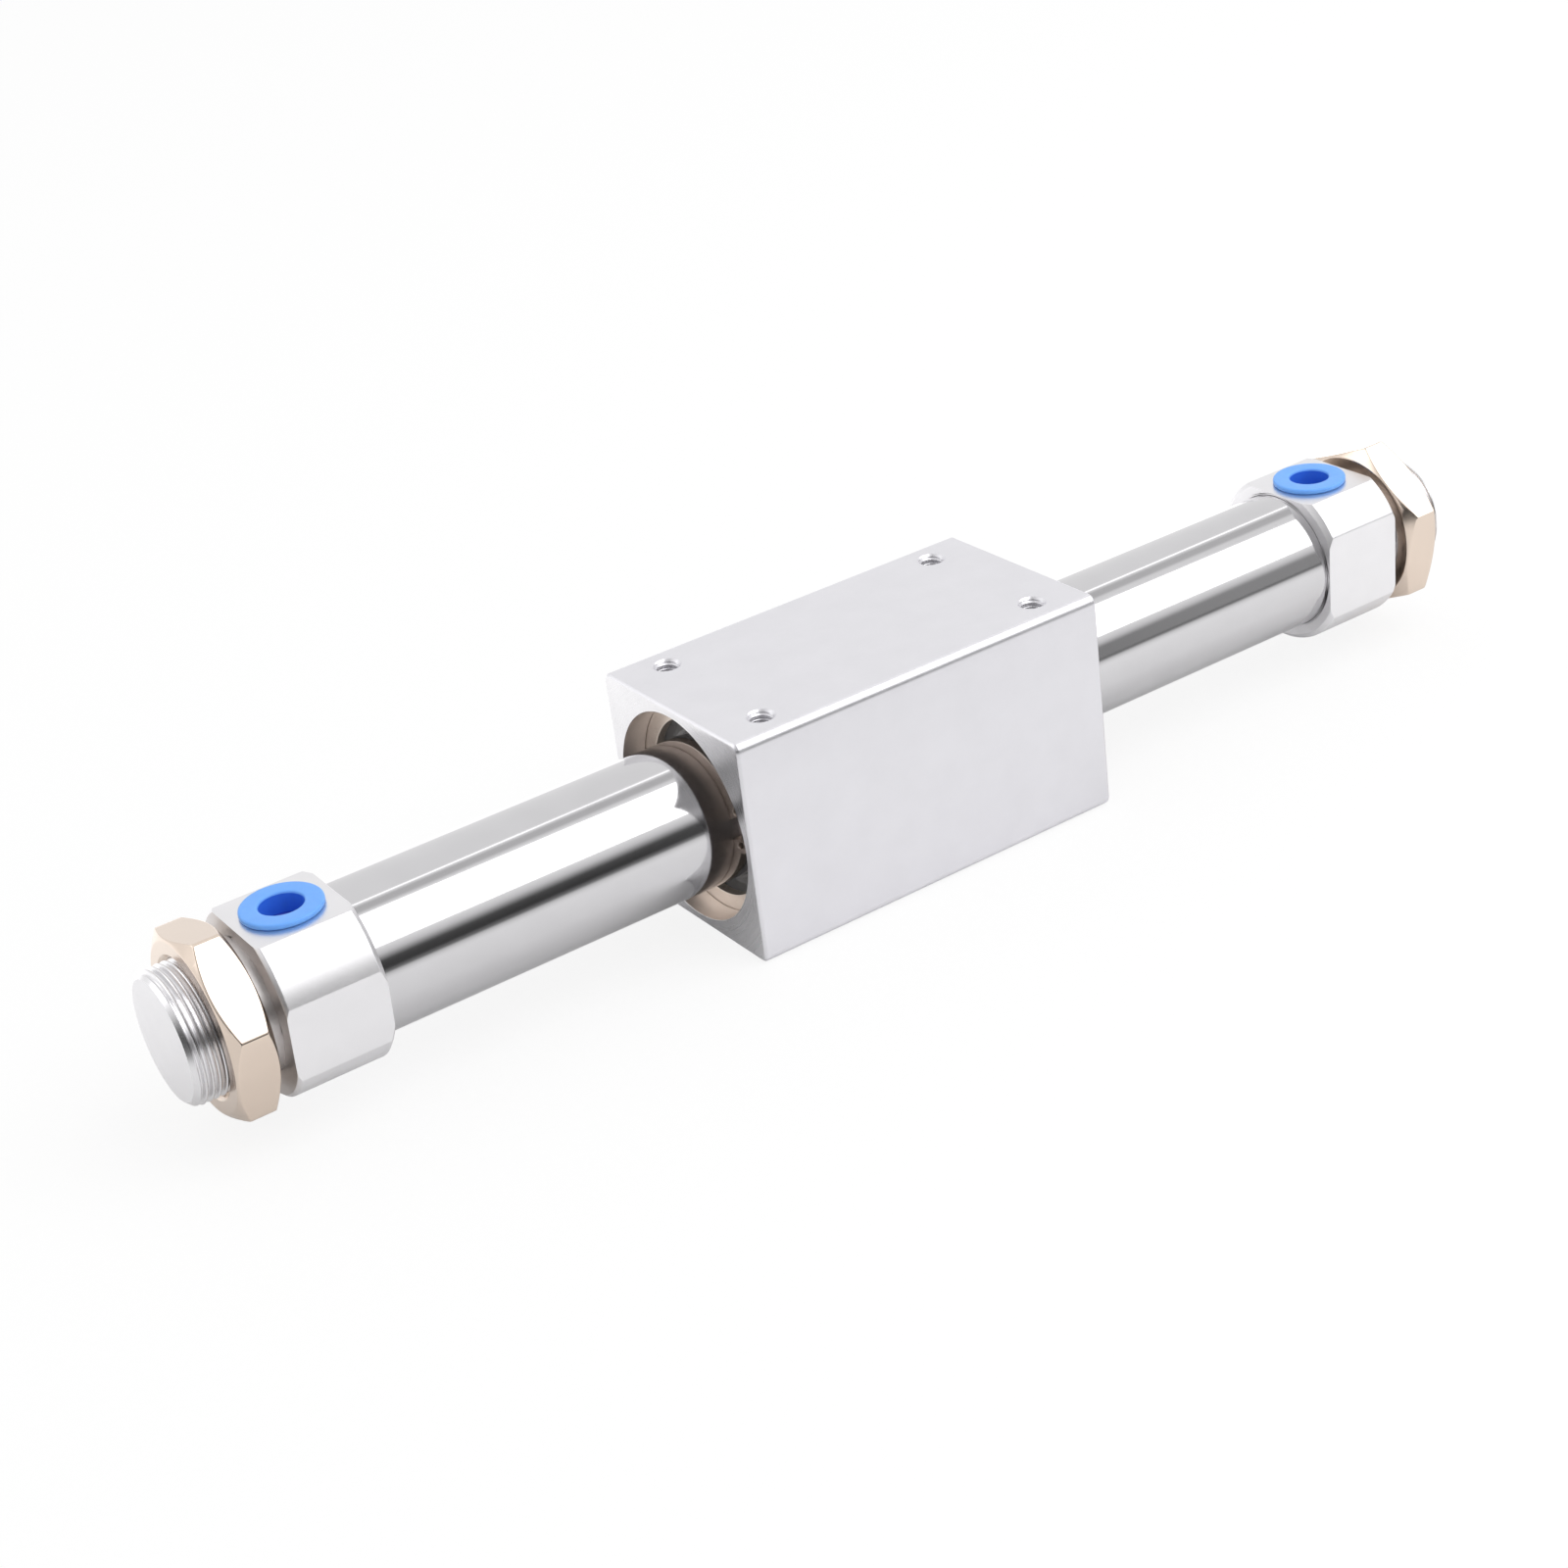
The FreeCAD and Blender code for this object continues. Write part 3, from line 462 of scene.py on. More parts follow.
class ThreadTree:
    """The Geometry Nodes tree that winds a thread's sheet from a flat grid."""

    STEPS = 12
    SIZES = ("Start", "Length", "Pitch", "Low", "High", "First", "Last", "Side", "Turns")
    # The crest takes an eighth of the pitch, the root a quarter and each flank 0.3125. A cone trims both ends
    SUMS: tuple[Sum, ...] = (
        ("Half", "MULTIPLY", "Turns", 0.5),
        ("share", "ADD", "Across", 0.5),
        ("angle", "MULTIPLY", "share", math.tau),
        ("wound", "MULTIPLY_ADD", "Up", "Turns", "Half"),
        ("cycle", "FRACT", "wound"),
        ("side step", "SUBTRACT", "cycle", 0.5),
        ("distance", "ABSOLUTE", "side step"),
        ("slope", "SUBTRACT", 0.375, "distance"),
        ("flank", "DIVIDE", "slope", 0.3125),
        ("cut", "MINIMUM", "flank", 1.0),
        ("lift", "MAXIMUM", "cut", 0.0),
        ("depth", "SUBTRACT", "High", "Low"),
        ("profile", "MULTIPLY_ADD", "lift", "depth", "Low"),
        ("behind", "SUBTRACT", "share", 1.0),
        ("winding", "ADD", "wound", "behind"),
        ("run", "MULTIPLY", "winding", "Pitch"),
        ("kept", "MAXIMUM", "run", 0.0),
        ("along", "MINIMUM", "kept", "Length"),
        ("to end", "SUBTRACT", "Length", "along"),
        ("first cone", "MULTIPLY_ADD", "along", "Side", "First"),
        ("last cone", "MULTIPLY_ADD", "to end", "Side", "Last"),
        ("first signed", "MULTIPLY", "first cone", "Side"),
        ("last signed", "MULTIPLY", "last cone", "Side"),
        ("profile signed", "MULTIPLY", "profile", "Side"),
        ("nearer cone", "MINIMUM", "first signed", "last signed"),
        ("trimmed", "MINIMUM", "profile signed", "nearer cone"),
        ("radius", "MULTIPLY", "trimmed", "Side"),
        ("cosine", "COSINE", "angle"),
        ("sine", "SINE", "angle"),
        ("x", "ADD", "along", "Start"),
        ("y", "MULTIPLY", "radius", "cosine"),
        ("z", "MULTIPLY", "radius", "sine"),
    )

    def __init__(self) -> None:
        self.tree = bpy.data.node_groups.new("Wound thread", "GeometryNodeTree")
        face = self.tree.interface
        face.new_socket("Geometry", in_out="OUTPUT", socket_type="NodeSocketGeometry")
        kinds = {name: "Float" for name in self.SIZES}
        kinds |= {"Around": "Int", "Rows": "Int", "Finish": "Material"}
        self.sockets = {
            name: face.new_socket(name, in_out="INPUT", socket_type="NodeSocket" + kind).identifier
            for name, kind in kinds.items()
        }
        self._wire()

    def _wire(self) -> None:
        """Join the grid, the sums and the winding."""
        tree = self.tree
        given = add_node(tree, "NodeGroupInput").outputs
        grid = add_node(tree, "GeometryNodeMeshGrid", {
            "Size X": 1.0, "Size Y": 1.0, "Vertices X": given["Around"], "Vertices Y": given["Rows"],
        })
        place = add_node(tree, "GeometryNodeInputPosition")
        parts = add_node(tree, "ShaderNodeSeparateXYZ", {0: place.outputs[0]}).outputs
        sizes = {name: given[name] for name in self.SIZES} | {"Across": parts[0], "Up": parts[1]}
        known = worked(tree, self.SUMS, sizes)
        spot = add_node(tree, "ShaderNodeCombineXYZ", {0: known["x"], 1: known["y"], 2: known["z"]})
        shape = grid.outputs["Mesh"]
        steps = {
            "SetPosition": {"Position": spot.outputs[0]}, "MergeByDistance": {"Distance": MERGE},
            "RealizeInstances": {}, "SetMaterial": {"Material": given["Finish"]},
        }
        for kind, inputs in steps.items():
            shape = add_node(tree, "GeometryNode" + kind, {"Geometry": shape, **inputs}).outputs[0]
        add_node(tree, "NodeGroupOutput", {"Geometry": shape})

    def sheet(self, thread: Thread, finish: Finish) -> Mesh:
        """Wind one thread and return its sheet as a plain mesh in millimetres."""
        form = thread.form
        turns = math.ceil(thread.length / form.pitch) + 1
        carrier = placed("thread_carrier", bpy.data.meshes.new("thread_carrier"))
        winding = carrier.modifiers.new("Winding", "NODES")
        winding.node_group = self.tree
        values = {
            "Start": thread.start, "Length": thread.length, "Pitch": form.pitch, "Low": form.low,
            "High": form.high, "First": thread.first, "Last": thread.last,
            "Side": 1.0 if thread.outside else -1.0, "Turns": float(turns), "Around": thread.around + 1,
            "Rows": turns * self.STEPS + 1, "Finish": finish.material(),
        }
        for name, value in values.items():
            winding[self.sockets[name]] = value
        carrier.update_tag()
        wound = carrier.evaluated_get(bpy.context.evaluated_depsgraph_get())
        sheet = bpy.data.meshes.new_from_object(wound)
        bpy.data.objects.remove(carrier)
        return sheet


class Workshop:
    """Turns meshes into finished pieces that ride on the cylinder's bodies."""

    SHARP_ANGLE = 40.0

    def __init__(self) -> None:
        self.threads = ThreadTree()

    def modified(self, mesh: Mesh, kind: str, **settings) -> Mesh:
        """Work a modifier of a kind with its settings into a mesh, which this uses up."""
        carrier = placed(mesh.name, mesh)
        modifier = carrier.modifiers.new(kind, kind)
        for name, value in settings.items():
            setattr(modifier, name, value)
        shaped = carrier.evaluated_get(bpy.context.evaluated_depsgraph_get())
        made = bpy.data.meshes.new_from_object(shaped)
        bpy.data.objects.remove(carrier)
        bpy.data.meshes.remove(mesh)
        return made

    def carve(self, mesh: Mesh, cutter: Mesh) -> Mesh:
        """Cut one closed mesh out of another, which uses up both."""
        tool = placed("cutter", cutter)
        carved = self.modified(mesh, "BOOLEAN", operation="DIFFERENCE", solver="EXACT", object=tool)
        bpy.data.objects.remove(tool)
        bpy.data.meshes.remove(cutter)
        return carved

    def finished(self, mesh: Mesh, name: str, finishes: Sequence[Finish], body: str, node: str,
                 choose: Callable[[Face], int] = lambda face: 0) -> None:
        """Shade a piece, dress it, seat it on its body and let it stand for a CAD node.

        Args:
            mesh: Its mesh, used up by this.
            name: Its name.
            finishes: Its finishes, one slot each.
            body: The body that it rides on.
            node: The CAD node that it stands for.
            choose: Picks the number of a face's finish.
        """
        mesh.materials.clear()
        for finish in finishes:
            mesh.materials.append(finish.material())
        for face in mesh.polygons:
            face.use_smooth = True
            face.material_index = choose(face)
        mesh.set_sharp_from_angle(angle=math.radians(self.SHARP_ANGLE))
        piece = placed(name, self.modified(mesh, "WEIGHTED_NORMAL", keep_sharp=True))
        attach(piece, body)
        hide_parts(node)
        LOG.info("%s: %d faces, on %s", piece.name, len(piece.data.polygons), body)


@dataclass
class CylinderTube:
    """The stainless tube."""

    half_length: float = 90.2
    inner: float = 10.0
    outer: float = 11.4
    edge: float = 0.1
    around: int = 192

    def build(self, shop: Workshop) -> None:
        """Turn the tube from its wall's section."""
        corners = (
            (-self.half_length, self.inner), (-self.half_length, self.outer),
            (self.half_length, self.outer), (self.half_length, self.inner),
        )
        skin = Skin().turned(eased(corners, self.edge, closed=True), self.around)
        name = "drawn_tube"
        shop.finished(skin.mesh(name), name, (DRAWN_STAINLESS,), "cylinder",
                      "cylinder_tube")


@dataclass
class EndCap:
    """One cap: turned block with three flats, spigot, pilot, threaded nose and port."""

    end: End
    flat: float
    turn: float
    port_flat: float = 11.8
    radius: float = 14.0
    face: float = 88.0
    back: float = 103.0
    chamfer: float = 0.8
    edge: float = 0.5
    socket: float = 11.43
    socket_depth: float = 2.2
    rim: Pair = (0.3, 0.45)
    spigot: float = 9.97
    spigot_face: float = 81.0
    groove: Pair = (83.2, 84.9)
    groove_radius: float = 8.75
    chamber: float = 3.5
    chamber_end: float = 97.5
    drill_point: float = 2.0
    pilot: float = 10.0
    pilot_end: float = 105.0
    pilot_chamfer: float = 0.2
    back_band: float = 0.6
    tip: float = 116.0
    tip_radius: float = 8.97
    tip_band: float = 1.0
    thread_band: float = 0.2
    port: float = 4.28
    port_floor: float = 4.3
    port_chamfer: float = 0.4
    port_lean: float = 0.03
    port_around: int = 96
    ease: float = 0.12
    ease_share: float = 0.3
    flat_runs: int = 18
    arc_runs: tuple[int, int, int] = (18, 24, 60)

    @property
    def flats(self) -> list[Pair]:
        """Each flat's direction from +Y towards +Z in radians, and its distance."""
        turn = math.radians(self.turn)
        return [(turn, self.flat), (math.pi / 2, self.port_flat), (math.pi + turn, self.flat)]

    def flatted_row(self, along: float, radius: float) -> Row:
        """Set points round the axis on a circle with its flats cut off.

        The row holds each flat's rounded corners with the runs between them, then the arc to the next flat.
        """
        spans = []
        for middle, distance in self.flats:
            half = math.acos(min(1.0, distance / radius))
            spans.append((middle - half, middle + half))
        spans.append((spans[0][0] + math.tau, 0.0))
        points: list[Vector] = []
        for index in range(3):
            start, end = spans[index]
            following = spans[index + 1][0]
            first, last = polar(radius, start), polar(radius, end)
            chord = last - first
            reach = min(self.ease, chord.length * self.ease_share)
            inward = chord.normalized() * reach if chord.length > 0 else chord
            lean = reach / radius
            points += bend(polar(radius, start - lean), first, first + inward)
            for run in range(1, self.flat_runs):
                points.append((first + inward).lerp(last - inward, run / self.flat_runs))
            points += bend(last - inward, last, polar(radius, end + lean))
            count = self.arc_runs[index]
            for run in range(1, count):
                angle = end + lean + (following - end - 2 * lean) * run / count
                points.append(polar(radius, angle))
        return [Vector((along, point.x, point.y)) for point in points]

    def body(self) -> Mesh:
        """Make the cap without its nose: spigot, socket, block and pilot."""
        outside = self.flatted_row(self.face, self.radius - self.chamfer)
        angles = [math.atan2(point.z, point.y) for point in outside]
        near, far = self.groove
        inside = eased((
            (self.chamber_end + self.drill_point, 0.0), (self.chamber_end, self.chamber),
            (self.spigot_face, self.chamber),
            (self.spigot_face, self.spigot), (near, self.spigot), (near, self.groove_radius),
            (far, self.groove_radius), (far, self.spigot),
            (self.face + self.socket_depth, self.spigot), (self.face + self.socket_depth, self.socket),
            (self.face, self.socket), (self.face, self.socket + self.rim[0]),
        ), self.ease)
        block = eased((
            (self.face, self.socket + self.rim[1]), (self.face, self.radius - self.chamfer),
            (self.face + self.chamfer, self.radius), (self.back - self.edge, self.radius),
            (self.back, self.radius - self.edge), (self.back, self.pilot + self.back_band),
        ), self.ease)
        rows = [circle_row(along, radius, angles) for along, radius in inside]
        rows += [self.flatted_row(along, radius) for along, radius in block]
        pilot = (
            (self.back, self.pilot), (self.pilot_end - self.pilot_chamfer, self.pilot),
            (self.pilot_end, self.pilot - self.pilot_chamfer), (self.pilot_end, NOSE_THREAD.low),
            (self.pilot_end, 0.0),
        )
        even = full_turn(len(angles))
        rows += [circle_row(along, radius, even) for along, radius in pilot]
        return Skin().rows(rows).mesh("cap_body")

    def port_cutter(self) -> Mesh:
        """Make what the port takes away, with a rounded rim."""
        lip = self.port + self.port_chamfer
        profile = (
            (self.port_floor, 0.0), (self.port_floor, self.port),
            (self.port_flat - self.port_chamfer, self.port), *rim(self.port_flat, lip, self.port_lean),
        )
        middle = (self.face + self.back) / 2
        skin = Skin().turned(profile, self.port_around, joined=False)
        return skin.mesh("port_cutter", upright((middle, 0, 0)))

    def build(self, shop: Workshop) -> None:
        """Make the cap's body, cut its port, and wind the thread on its nose."""
        skin = Skin().sheet(shop.carve(self.body(), self.port_cutter()))
        bmesh.ops.scale(skin.bm, vec=(1 / MM,) * 3, verts=skin.bm.verts)
        pole = min(skin.bm.verts, key=lambda vert: (vert.co - Vector((self.pilot_end, 0, 0))).length)
        bmesh.ops.delete(skin.bm, geom=[pole], context="VERTS")
        around = len(self.flatted_row(self.face, self.radius))
        length = self.tip - self.pilot_end
        nose = Thread(NOSE_THREAD, self.pilot_end, length, NOSE_THREAD.low, self.tip_radius, True, around)
        skin.sheet(shop.threads.sheet(nose, BLASTED_ALUMINIUM))
        face = [(self.tip, radius) for radius in (self.tip_radius, self.tip_radius - self.tip_band, 0.0)]
        skin.turned(face, around, joined=False)
        name = f"{self.end.label}_cap"

        def choose(face: Face) -> int:
            """Pick the finish of the flats, the painted gap shade of the face next to the nut, the paler
            painted light of the face at the tube, and the thread.
            """
            spot = self.end.turn.inverted() @ Vector(face.center) / MM
            normal = self.end.turn.to_3x3().inverted() @ face.normal
            away = math.hypot(spot.y, spot.z)
            # The pilot and the cap's face next to the nut get the painted gap shade
            if self.back - CLOSE < spot.x < self.pilot_end and away < self.radius - self.edge:
                return 2
            # The face round the tube gets the paler painted light
            if abs(spot.x - self.face) < NEAR:
                return 3
            if spot.x > self.pilot_end and away > self.tip_radius - self.thread_band:
                return 4
            for middle, distance in self.flats:
                way = Vector((0, math.cos(middle), math.sin(middle)))
                if normal.dot(way) > SAME_WAY and abs(spot.dot(way) - distance) < LOOSE:
                    return 1
            return 0

        finishes = (BLASTED_ALUMINIUM, MILLED_ALUMINIUM, GAP_SHADED_ALUMINIUM, PALE_LIT_TURNED_ALUMINIUM,
                    TURNED_ALUMINIUM)
        shop.finished(skin.mesh(name, self.end.turn), name, finishes, "cylinder",
                      f"{self.end.label}_end_cap", choose)


@dataclass
class MountingNut:
    """One thin hexagon nut, chamfered on both faces and threaded to fit the nose."""

    end: End
    turn: float
    back: float = 105.0
    thickness: float = 6.5
    half_flats: float = 13.0
    face_radius: float = 12.65
    chamfer_angle: float = 30.0
    mouth: float = 10.7
    corner_round: float = 0.35
    ease: float = 0.16
    clearance: float = 0.04
    around: int = 240

    def hexagon_radius(self, angle: float) -> float:
        """Return the rounded hexagon's radius at an angle from +Y towards +Z, in radians."""
        sixth = math.pi / 3
        lean = abs((angle - math.radians(self.turn) + sixth / 2) % sixth - sixth / 2)
        centre = (self.half_flats - self.corner_round) / math.cos(sixth / 2)
        inside = self.corner_round ** 2 - (centre * math.sin(lean)) ** 2
        flat = self.half_flats / math.cos(sixth / 2 - lean)
        if inside <= 0:
            return flat
        return min(flat, centre * math.cos(lean) + math.sqrt(inside))

    def build(self, shop: Workshop) -> None:
        """Make the nut column by column round its axis and wind its thread."""
        fall = math.tan(math.radians(self.chamfer_angle))
        angles = full_turn(self.around)
        columns = []
        for angle in angles:
            reach = self.hexagon_radius(angle)
            drop = (reach - self.face_radius) * fall
            columns.append(eased((
                (0.0, self.mouth), (0.0, self.face_radius), (drop, reach), (self.thickness - drop, reach),
                (self.thickness, self.face_radius), (self.thickness, self.mouth),
            ), self.ease))
        rows = [[
            Vector((self.back + along, reach * math.cos(angle), reach * math.sin(angle)))
            for (along, reach), angle in zip(row, angles)
        ] for row in zip(*columns)]
        play = self.clearance
        form = ThreadForm(NOSE_THREAD.pitch, NOSE_THREAD.low + play, NOSE_THREAD.high + play)
        hole = Thread(form, self.back, self.thickness, self.mouth, self.mouth, False, self.around)
        skin = Skin().rows(rows).sheet(shop.threads.sheet(hole, PLATED_STEEL))
        name = f"{self.end.label}_nut"
        shop.finished(skin.mesh(name, self.end.turn), name, (PLATED_STEEL,), "cylinder",
                      f"{self.end.label}_mounting_nut")


@dataclass
class PortPlug:
    """One moulded cap plug, pressed into a port."""

    end: End
    place: float = 95.5
    seat: float = 11.8
    flange: float = 5.95
    thickness: float = 0.9
    shank: float = 4.2
    depth: float = 6.0
    hollow: float = 3.2
    step_depth: float = 2.6
    step: float = 0.7
    floor: float = 0.9
    ease: float = 0.35
    around: int = 128

    def build(self, shop: Workshop) -> None:
        """Turn the plug about its own axis and stand it on the port flat."""
        corners = (
            (self.floor - self.depth, 0.0), (self.floor - self.depth, self.hollow - self.step),
            (-self.step_depth, self.hollow - self.step), (-self.step_depth, self.hollow),
            (self.thickness, self.hollow), (self.thickness, self.flange), (0.0, self.flange),
            (0.0, self.shank), (-self.depth, self.shank), (-self.depth, 0.0),
        )
        skin = Skin().turned(eased(corners, self.ease), self.around, joined=False)
        stand = self.end.turn @ upright((self.place, 0, self.seat))

        def choose(face: Face) -> int:
            """Pick the painted hollow shade for the hollow's wall and the darker painted shade under its step.
            """
            spot = stand.inverted() @ (Vector(face.center) / MM)
            in_depth = self.floor - self.depth - CLOSE <= spot.x <= self.thickness - self.ease
            if math.hypot(spot.y, spot.z) > self.hollow + CLOSE or not in_depth:
                return 0
            return 2 if spot.x < -self.step_depth + self.ease else 1

        finishes = (BLUE_POLYETHYLENE, HOLLOW_SHADED_POLYETHYLENE, BOTTOM_SHADED_POLYETHYLENE)
        name = f"{self.end.label}_plug"
        shop.finished(skin.mesh(name, stand), name, finishes, "cylinder",
                      f"{self.end.label}_port_plug", choose)


@dataclass
class CarriageHousing:
    """The square block that slides along the tube."""

    centre: float = 1.0
    half_length: float = 33.0
    half_width: float = 18.0
    corner: float = 1.5
    chamfer: float = 0.4
    bore: float = 16.5
    groove: Pair = (27.4, 29.0)
    groove_radius: float = 17.2
    pitch_along: float = 50.0
    pitch_across: float = 25.0
    hole_depth: float = 5.0
    mouth: float = 2.25
    mouth_lean: float = 0.05
    drill_angle: float = 31.0
    drill_point: float = 2.0
    hole_around: int = 48
    hole_reach: float = 2.4
    ease: float = 0.15
    face_band: float = 1.2
    bore_ease: float = 0.08
    side_runs: int = 56
    corner_runs: int = 8

    def square_row(self, along: float, inset: float) -> Row:
        """Set points round the block, an inset inside its outline, side by side and corner by corner."""
        straight = self.half_width - self.corner
        widest = math.atan2(straight, self.half_width)
        quarter: list[Vector] = []
        for run in range(self.side_runs):
            lean = widest * (2 * run / self.side_runs - 1)
            quarter.append(Vector((self.half_width - inset, self.half_width * math.tan(lean))))
        for run in range(self.corner_runs):
            angle = math.pi / 2 * run / self.corner_runs
            reach = self.corner - inset
            quarter.append(Vector((straight + reach * math.cos(angle), straight + reach * math.sin(angle))))
        points = []
        for turn in range(4):
            spin = Matrix.Rotation(math.pi / 2 * turn, 2)
            points += [spin @ point for point in quarter]
        return [Vector((along, point.x, point.y)) for point in points]

    def block(self) -> Mesh:
        """Make the block with its bore and ring grooves."""
        angles = [math.atan2(point.z, point.y) for point in self.square_row(0, 0)]
        end, (near, far) = self.half_length, self.groove
        outside = eased((
            (-end, self.face_band), (-end, self.chamfer), (self.chamfer - end, 0.0),
            (end - self.chamfer, 0.0), (end, self.chamfer), (end, self.face_band),
        ), self.ease)
        half = [(end, self.bore + self.ease), (end, self.bore), (far, self.bore), (far, self.groove_radius),
                (near, self.groove_radius), (near, self.bore)]
        inside = eased(half + [(-along, radius) for along, radius in reversed(half)], self.bore_ease)
        rows = [self.square_row(along, inset) for along, inset in outside]
        rows += [circle_row(along, radius, angles) for along, radius in inside]
        return Skin().rows(rows, joined=True).mesh("block", Matrix.Translation((self.centre, 0, 0)))

    def tap_cutter(self, shop: Workshop, along: float, across: float) -> Mesh:
        """Make what one tapped hole takes away: drill point, thread, countersink and rounded rim."""
        top, around = self.half_width, self.hole_around
        low_radius, high_radius = TAPPED_THREAD.low, TAPPED_THREAD.high
        sink = self.mouth - high_radius
        bottom = top - self.hole_depth
        thread_top = top - sink
        thread = Thread(TAPPED_THREAD, bottom, thread_top - bottom, high_radius, high_radius, False, around)
        tip = bottom - low_radius * math.tan(math.radians(self.drill_angle))
        low = ((tip, 0.0), (bottom, low_radius), (bottom, high_radius))
        high = ((thread_top, high_radius), *rim(top, self.mouth, self.mouth_lean))
        skin = Skin().turned(low, around, False).turned(high, around, False)
        skin.sheet(shop.threads.sheet(thread, ANODISED_ALUMINIUM))
        return skin.mesh("tap_cutter", upright((self.centre + along, across, 0)))

    def build(self, shop: Workshop) -> None:
        """Cut the four tapped holes and dress the block."""
        mesh = self.block()
        for along in (-self.pitch_along / 2, self.pitch_along / 2):
            for across in (-self.pitch_across / 2, self.pitch_across / 2):
                mesh = shop.carve(mesh, self.tap_cutter(shop, along, across))

        def choose(face: Face) -> int:
            """Pick the faced finish for the ends and the bored one for the bore."""
            spot = face.center / MM - Vector((self.centre, 0, 0))
            away = math.hypot(spot.y, spot.z)
            if abs(spot.x) > self.half_length - NEAR and away > self.bore:
                return 1
            outward = (face.normal.y * spot.y + face.normal.z * spot.z) / max(away, CLOSE)
            off_hole = max(abs(abs(spot.y) - self.pitch_across / 2), abs(abs(spot.x) - self.pitch_along / 2))
            lowest = self.half_width - self.hole_depth - self.drill_point
            in_hole = off_hole < self.hole_reach and spot.z > lowest
            in_bore = away < self.groove_radius + LOOSE and not in_hole
            return 2 if in_bore and outward < 0.5 else 0

        finishes = (ANODISED_ALUMINIUM, FACED_ALUMINIUM, BORED_ALUMINIUM)
        shop.finished(mesh, "carriage_block", finishes, "housing", "carriage_housing",
                      choose)


@dataclass
class RingAndScraper:
    """What closes one end of the carriage: the snap ring and the scraper behind it."""

    end: End
    centre: float = 1.0
    ring_edge: float = 0.12
    edge_angle: float = 45.0
    weld: float = 0.001
    scraper_back: float = 24.0
    scraper_front: float = 27.35
    scraper_inner: float = 11.43
    scraper_outer: float = 16.42
    lip: float = 0.6
    hollow_width: float = 2.2
    hollow_depth: float = 1.4
    ease: float = 0.15
    around: int = 144

    def scraper(self, shop: Workshop) -> None:
        """Turn the scraper from its section."""
        start = self.scraper_inner + self.lip
        stop = start + self.hollow_width
        floor = self.scraper_front - self.hollow_depth
        corners = (
            (self.scraper_back, self.scraper_inner), (self.scraper_back, self.scraper_outer),
            (self.scraper_front, self.scraper_outer), (self.scraper_front, stop), (floor, stop - self.lip),
            (floor, start + self.lip), (self.scraper_front, start), (self.scraper_front, self.scraper_inner),
        )
        name = f"{self.end.label}_wiper"
        skin = Skin().turned(eased(corners, self.ease, closed=True), self.around)
        mesh = skin.mesh(name, self.end.shifted(self.centre))
        shop.finished(mesh, name, (FILLED_RUBBER,), "slider", f"{self.end.label}_scraper")

    def ring(self, shop: Workshop) -> None:
        """Make the snap ring from the frame's own, with its stamped edges rounded."""
        node = f"{self.end.label}_retaining_ring"
        name = f"{self.end.label}_snap_ring"
        solid = bmesh.new()
        solid.from_mesh(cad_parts[node].data)
        bmesh.ops.remove_doubles(solid, verts=solid.verts, dist=self.weld * MM)
        bmesh.ops.recalc_face_normals(solid, faces=solid.faces)
        mesh = bpy.data.meshes.new(name)
        solid.to_mesh(mesh)
        solid.free()
        mesh = shop.modified(mesh, "BEVEL", width=self.ring_edge * MM, segments=2, limit_method="ANGLE",
                             angle_limit=math.radians(self.edge_angle))
        shop.finished(mesh, name, (SPRING_STEEL,), "housing", node)

    def build(self, shop: Workshop) -> None:
        """Make both pieces."""
        self.scraper(shop)
        self.ring(shop)


class InnerParts:
    """The pieces inside the tube and the carriage, whose shapes the frame already has."""

    FINISHES: dict[str, Finish] = {
        "tube_gasket": NITRILE_RUBBER, "bumper": POLYURETHANE, "bearing_ring": BEARING_PLASTIC,
        "magnet": NICKELLED_MAGNET, "yoke": ZINCED_IRON, "piston_shaft": GROUND_STEEL,
        "piston_head": TURNED_ALUMINIUM, "piston_wear_ring": BEARING_PLASTIC, "piston_seal": NITRILE_RUBBER,
        "piston_nut": PLATED_STEEL,
    }

    def build(self) -> None:
        """Dress every node that is still shown."""
        for name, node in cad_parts.items():
            if node.hide_render:
                continue
            finish = next(finish for word, finish in self.FINISHES.items() if word in name)
            node.data.materials.clear()
            node.data.materials.append(finish.material())
            LOG.info("%s: %s", name, finish.name)


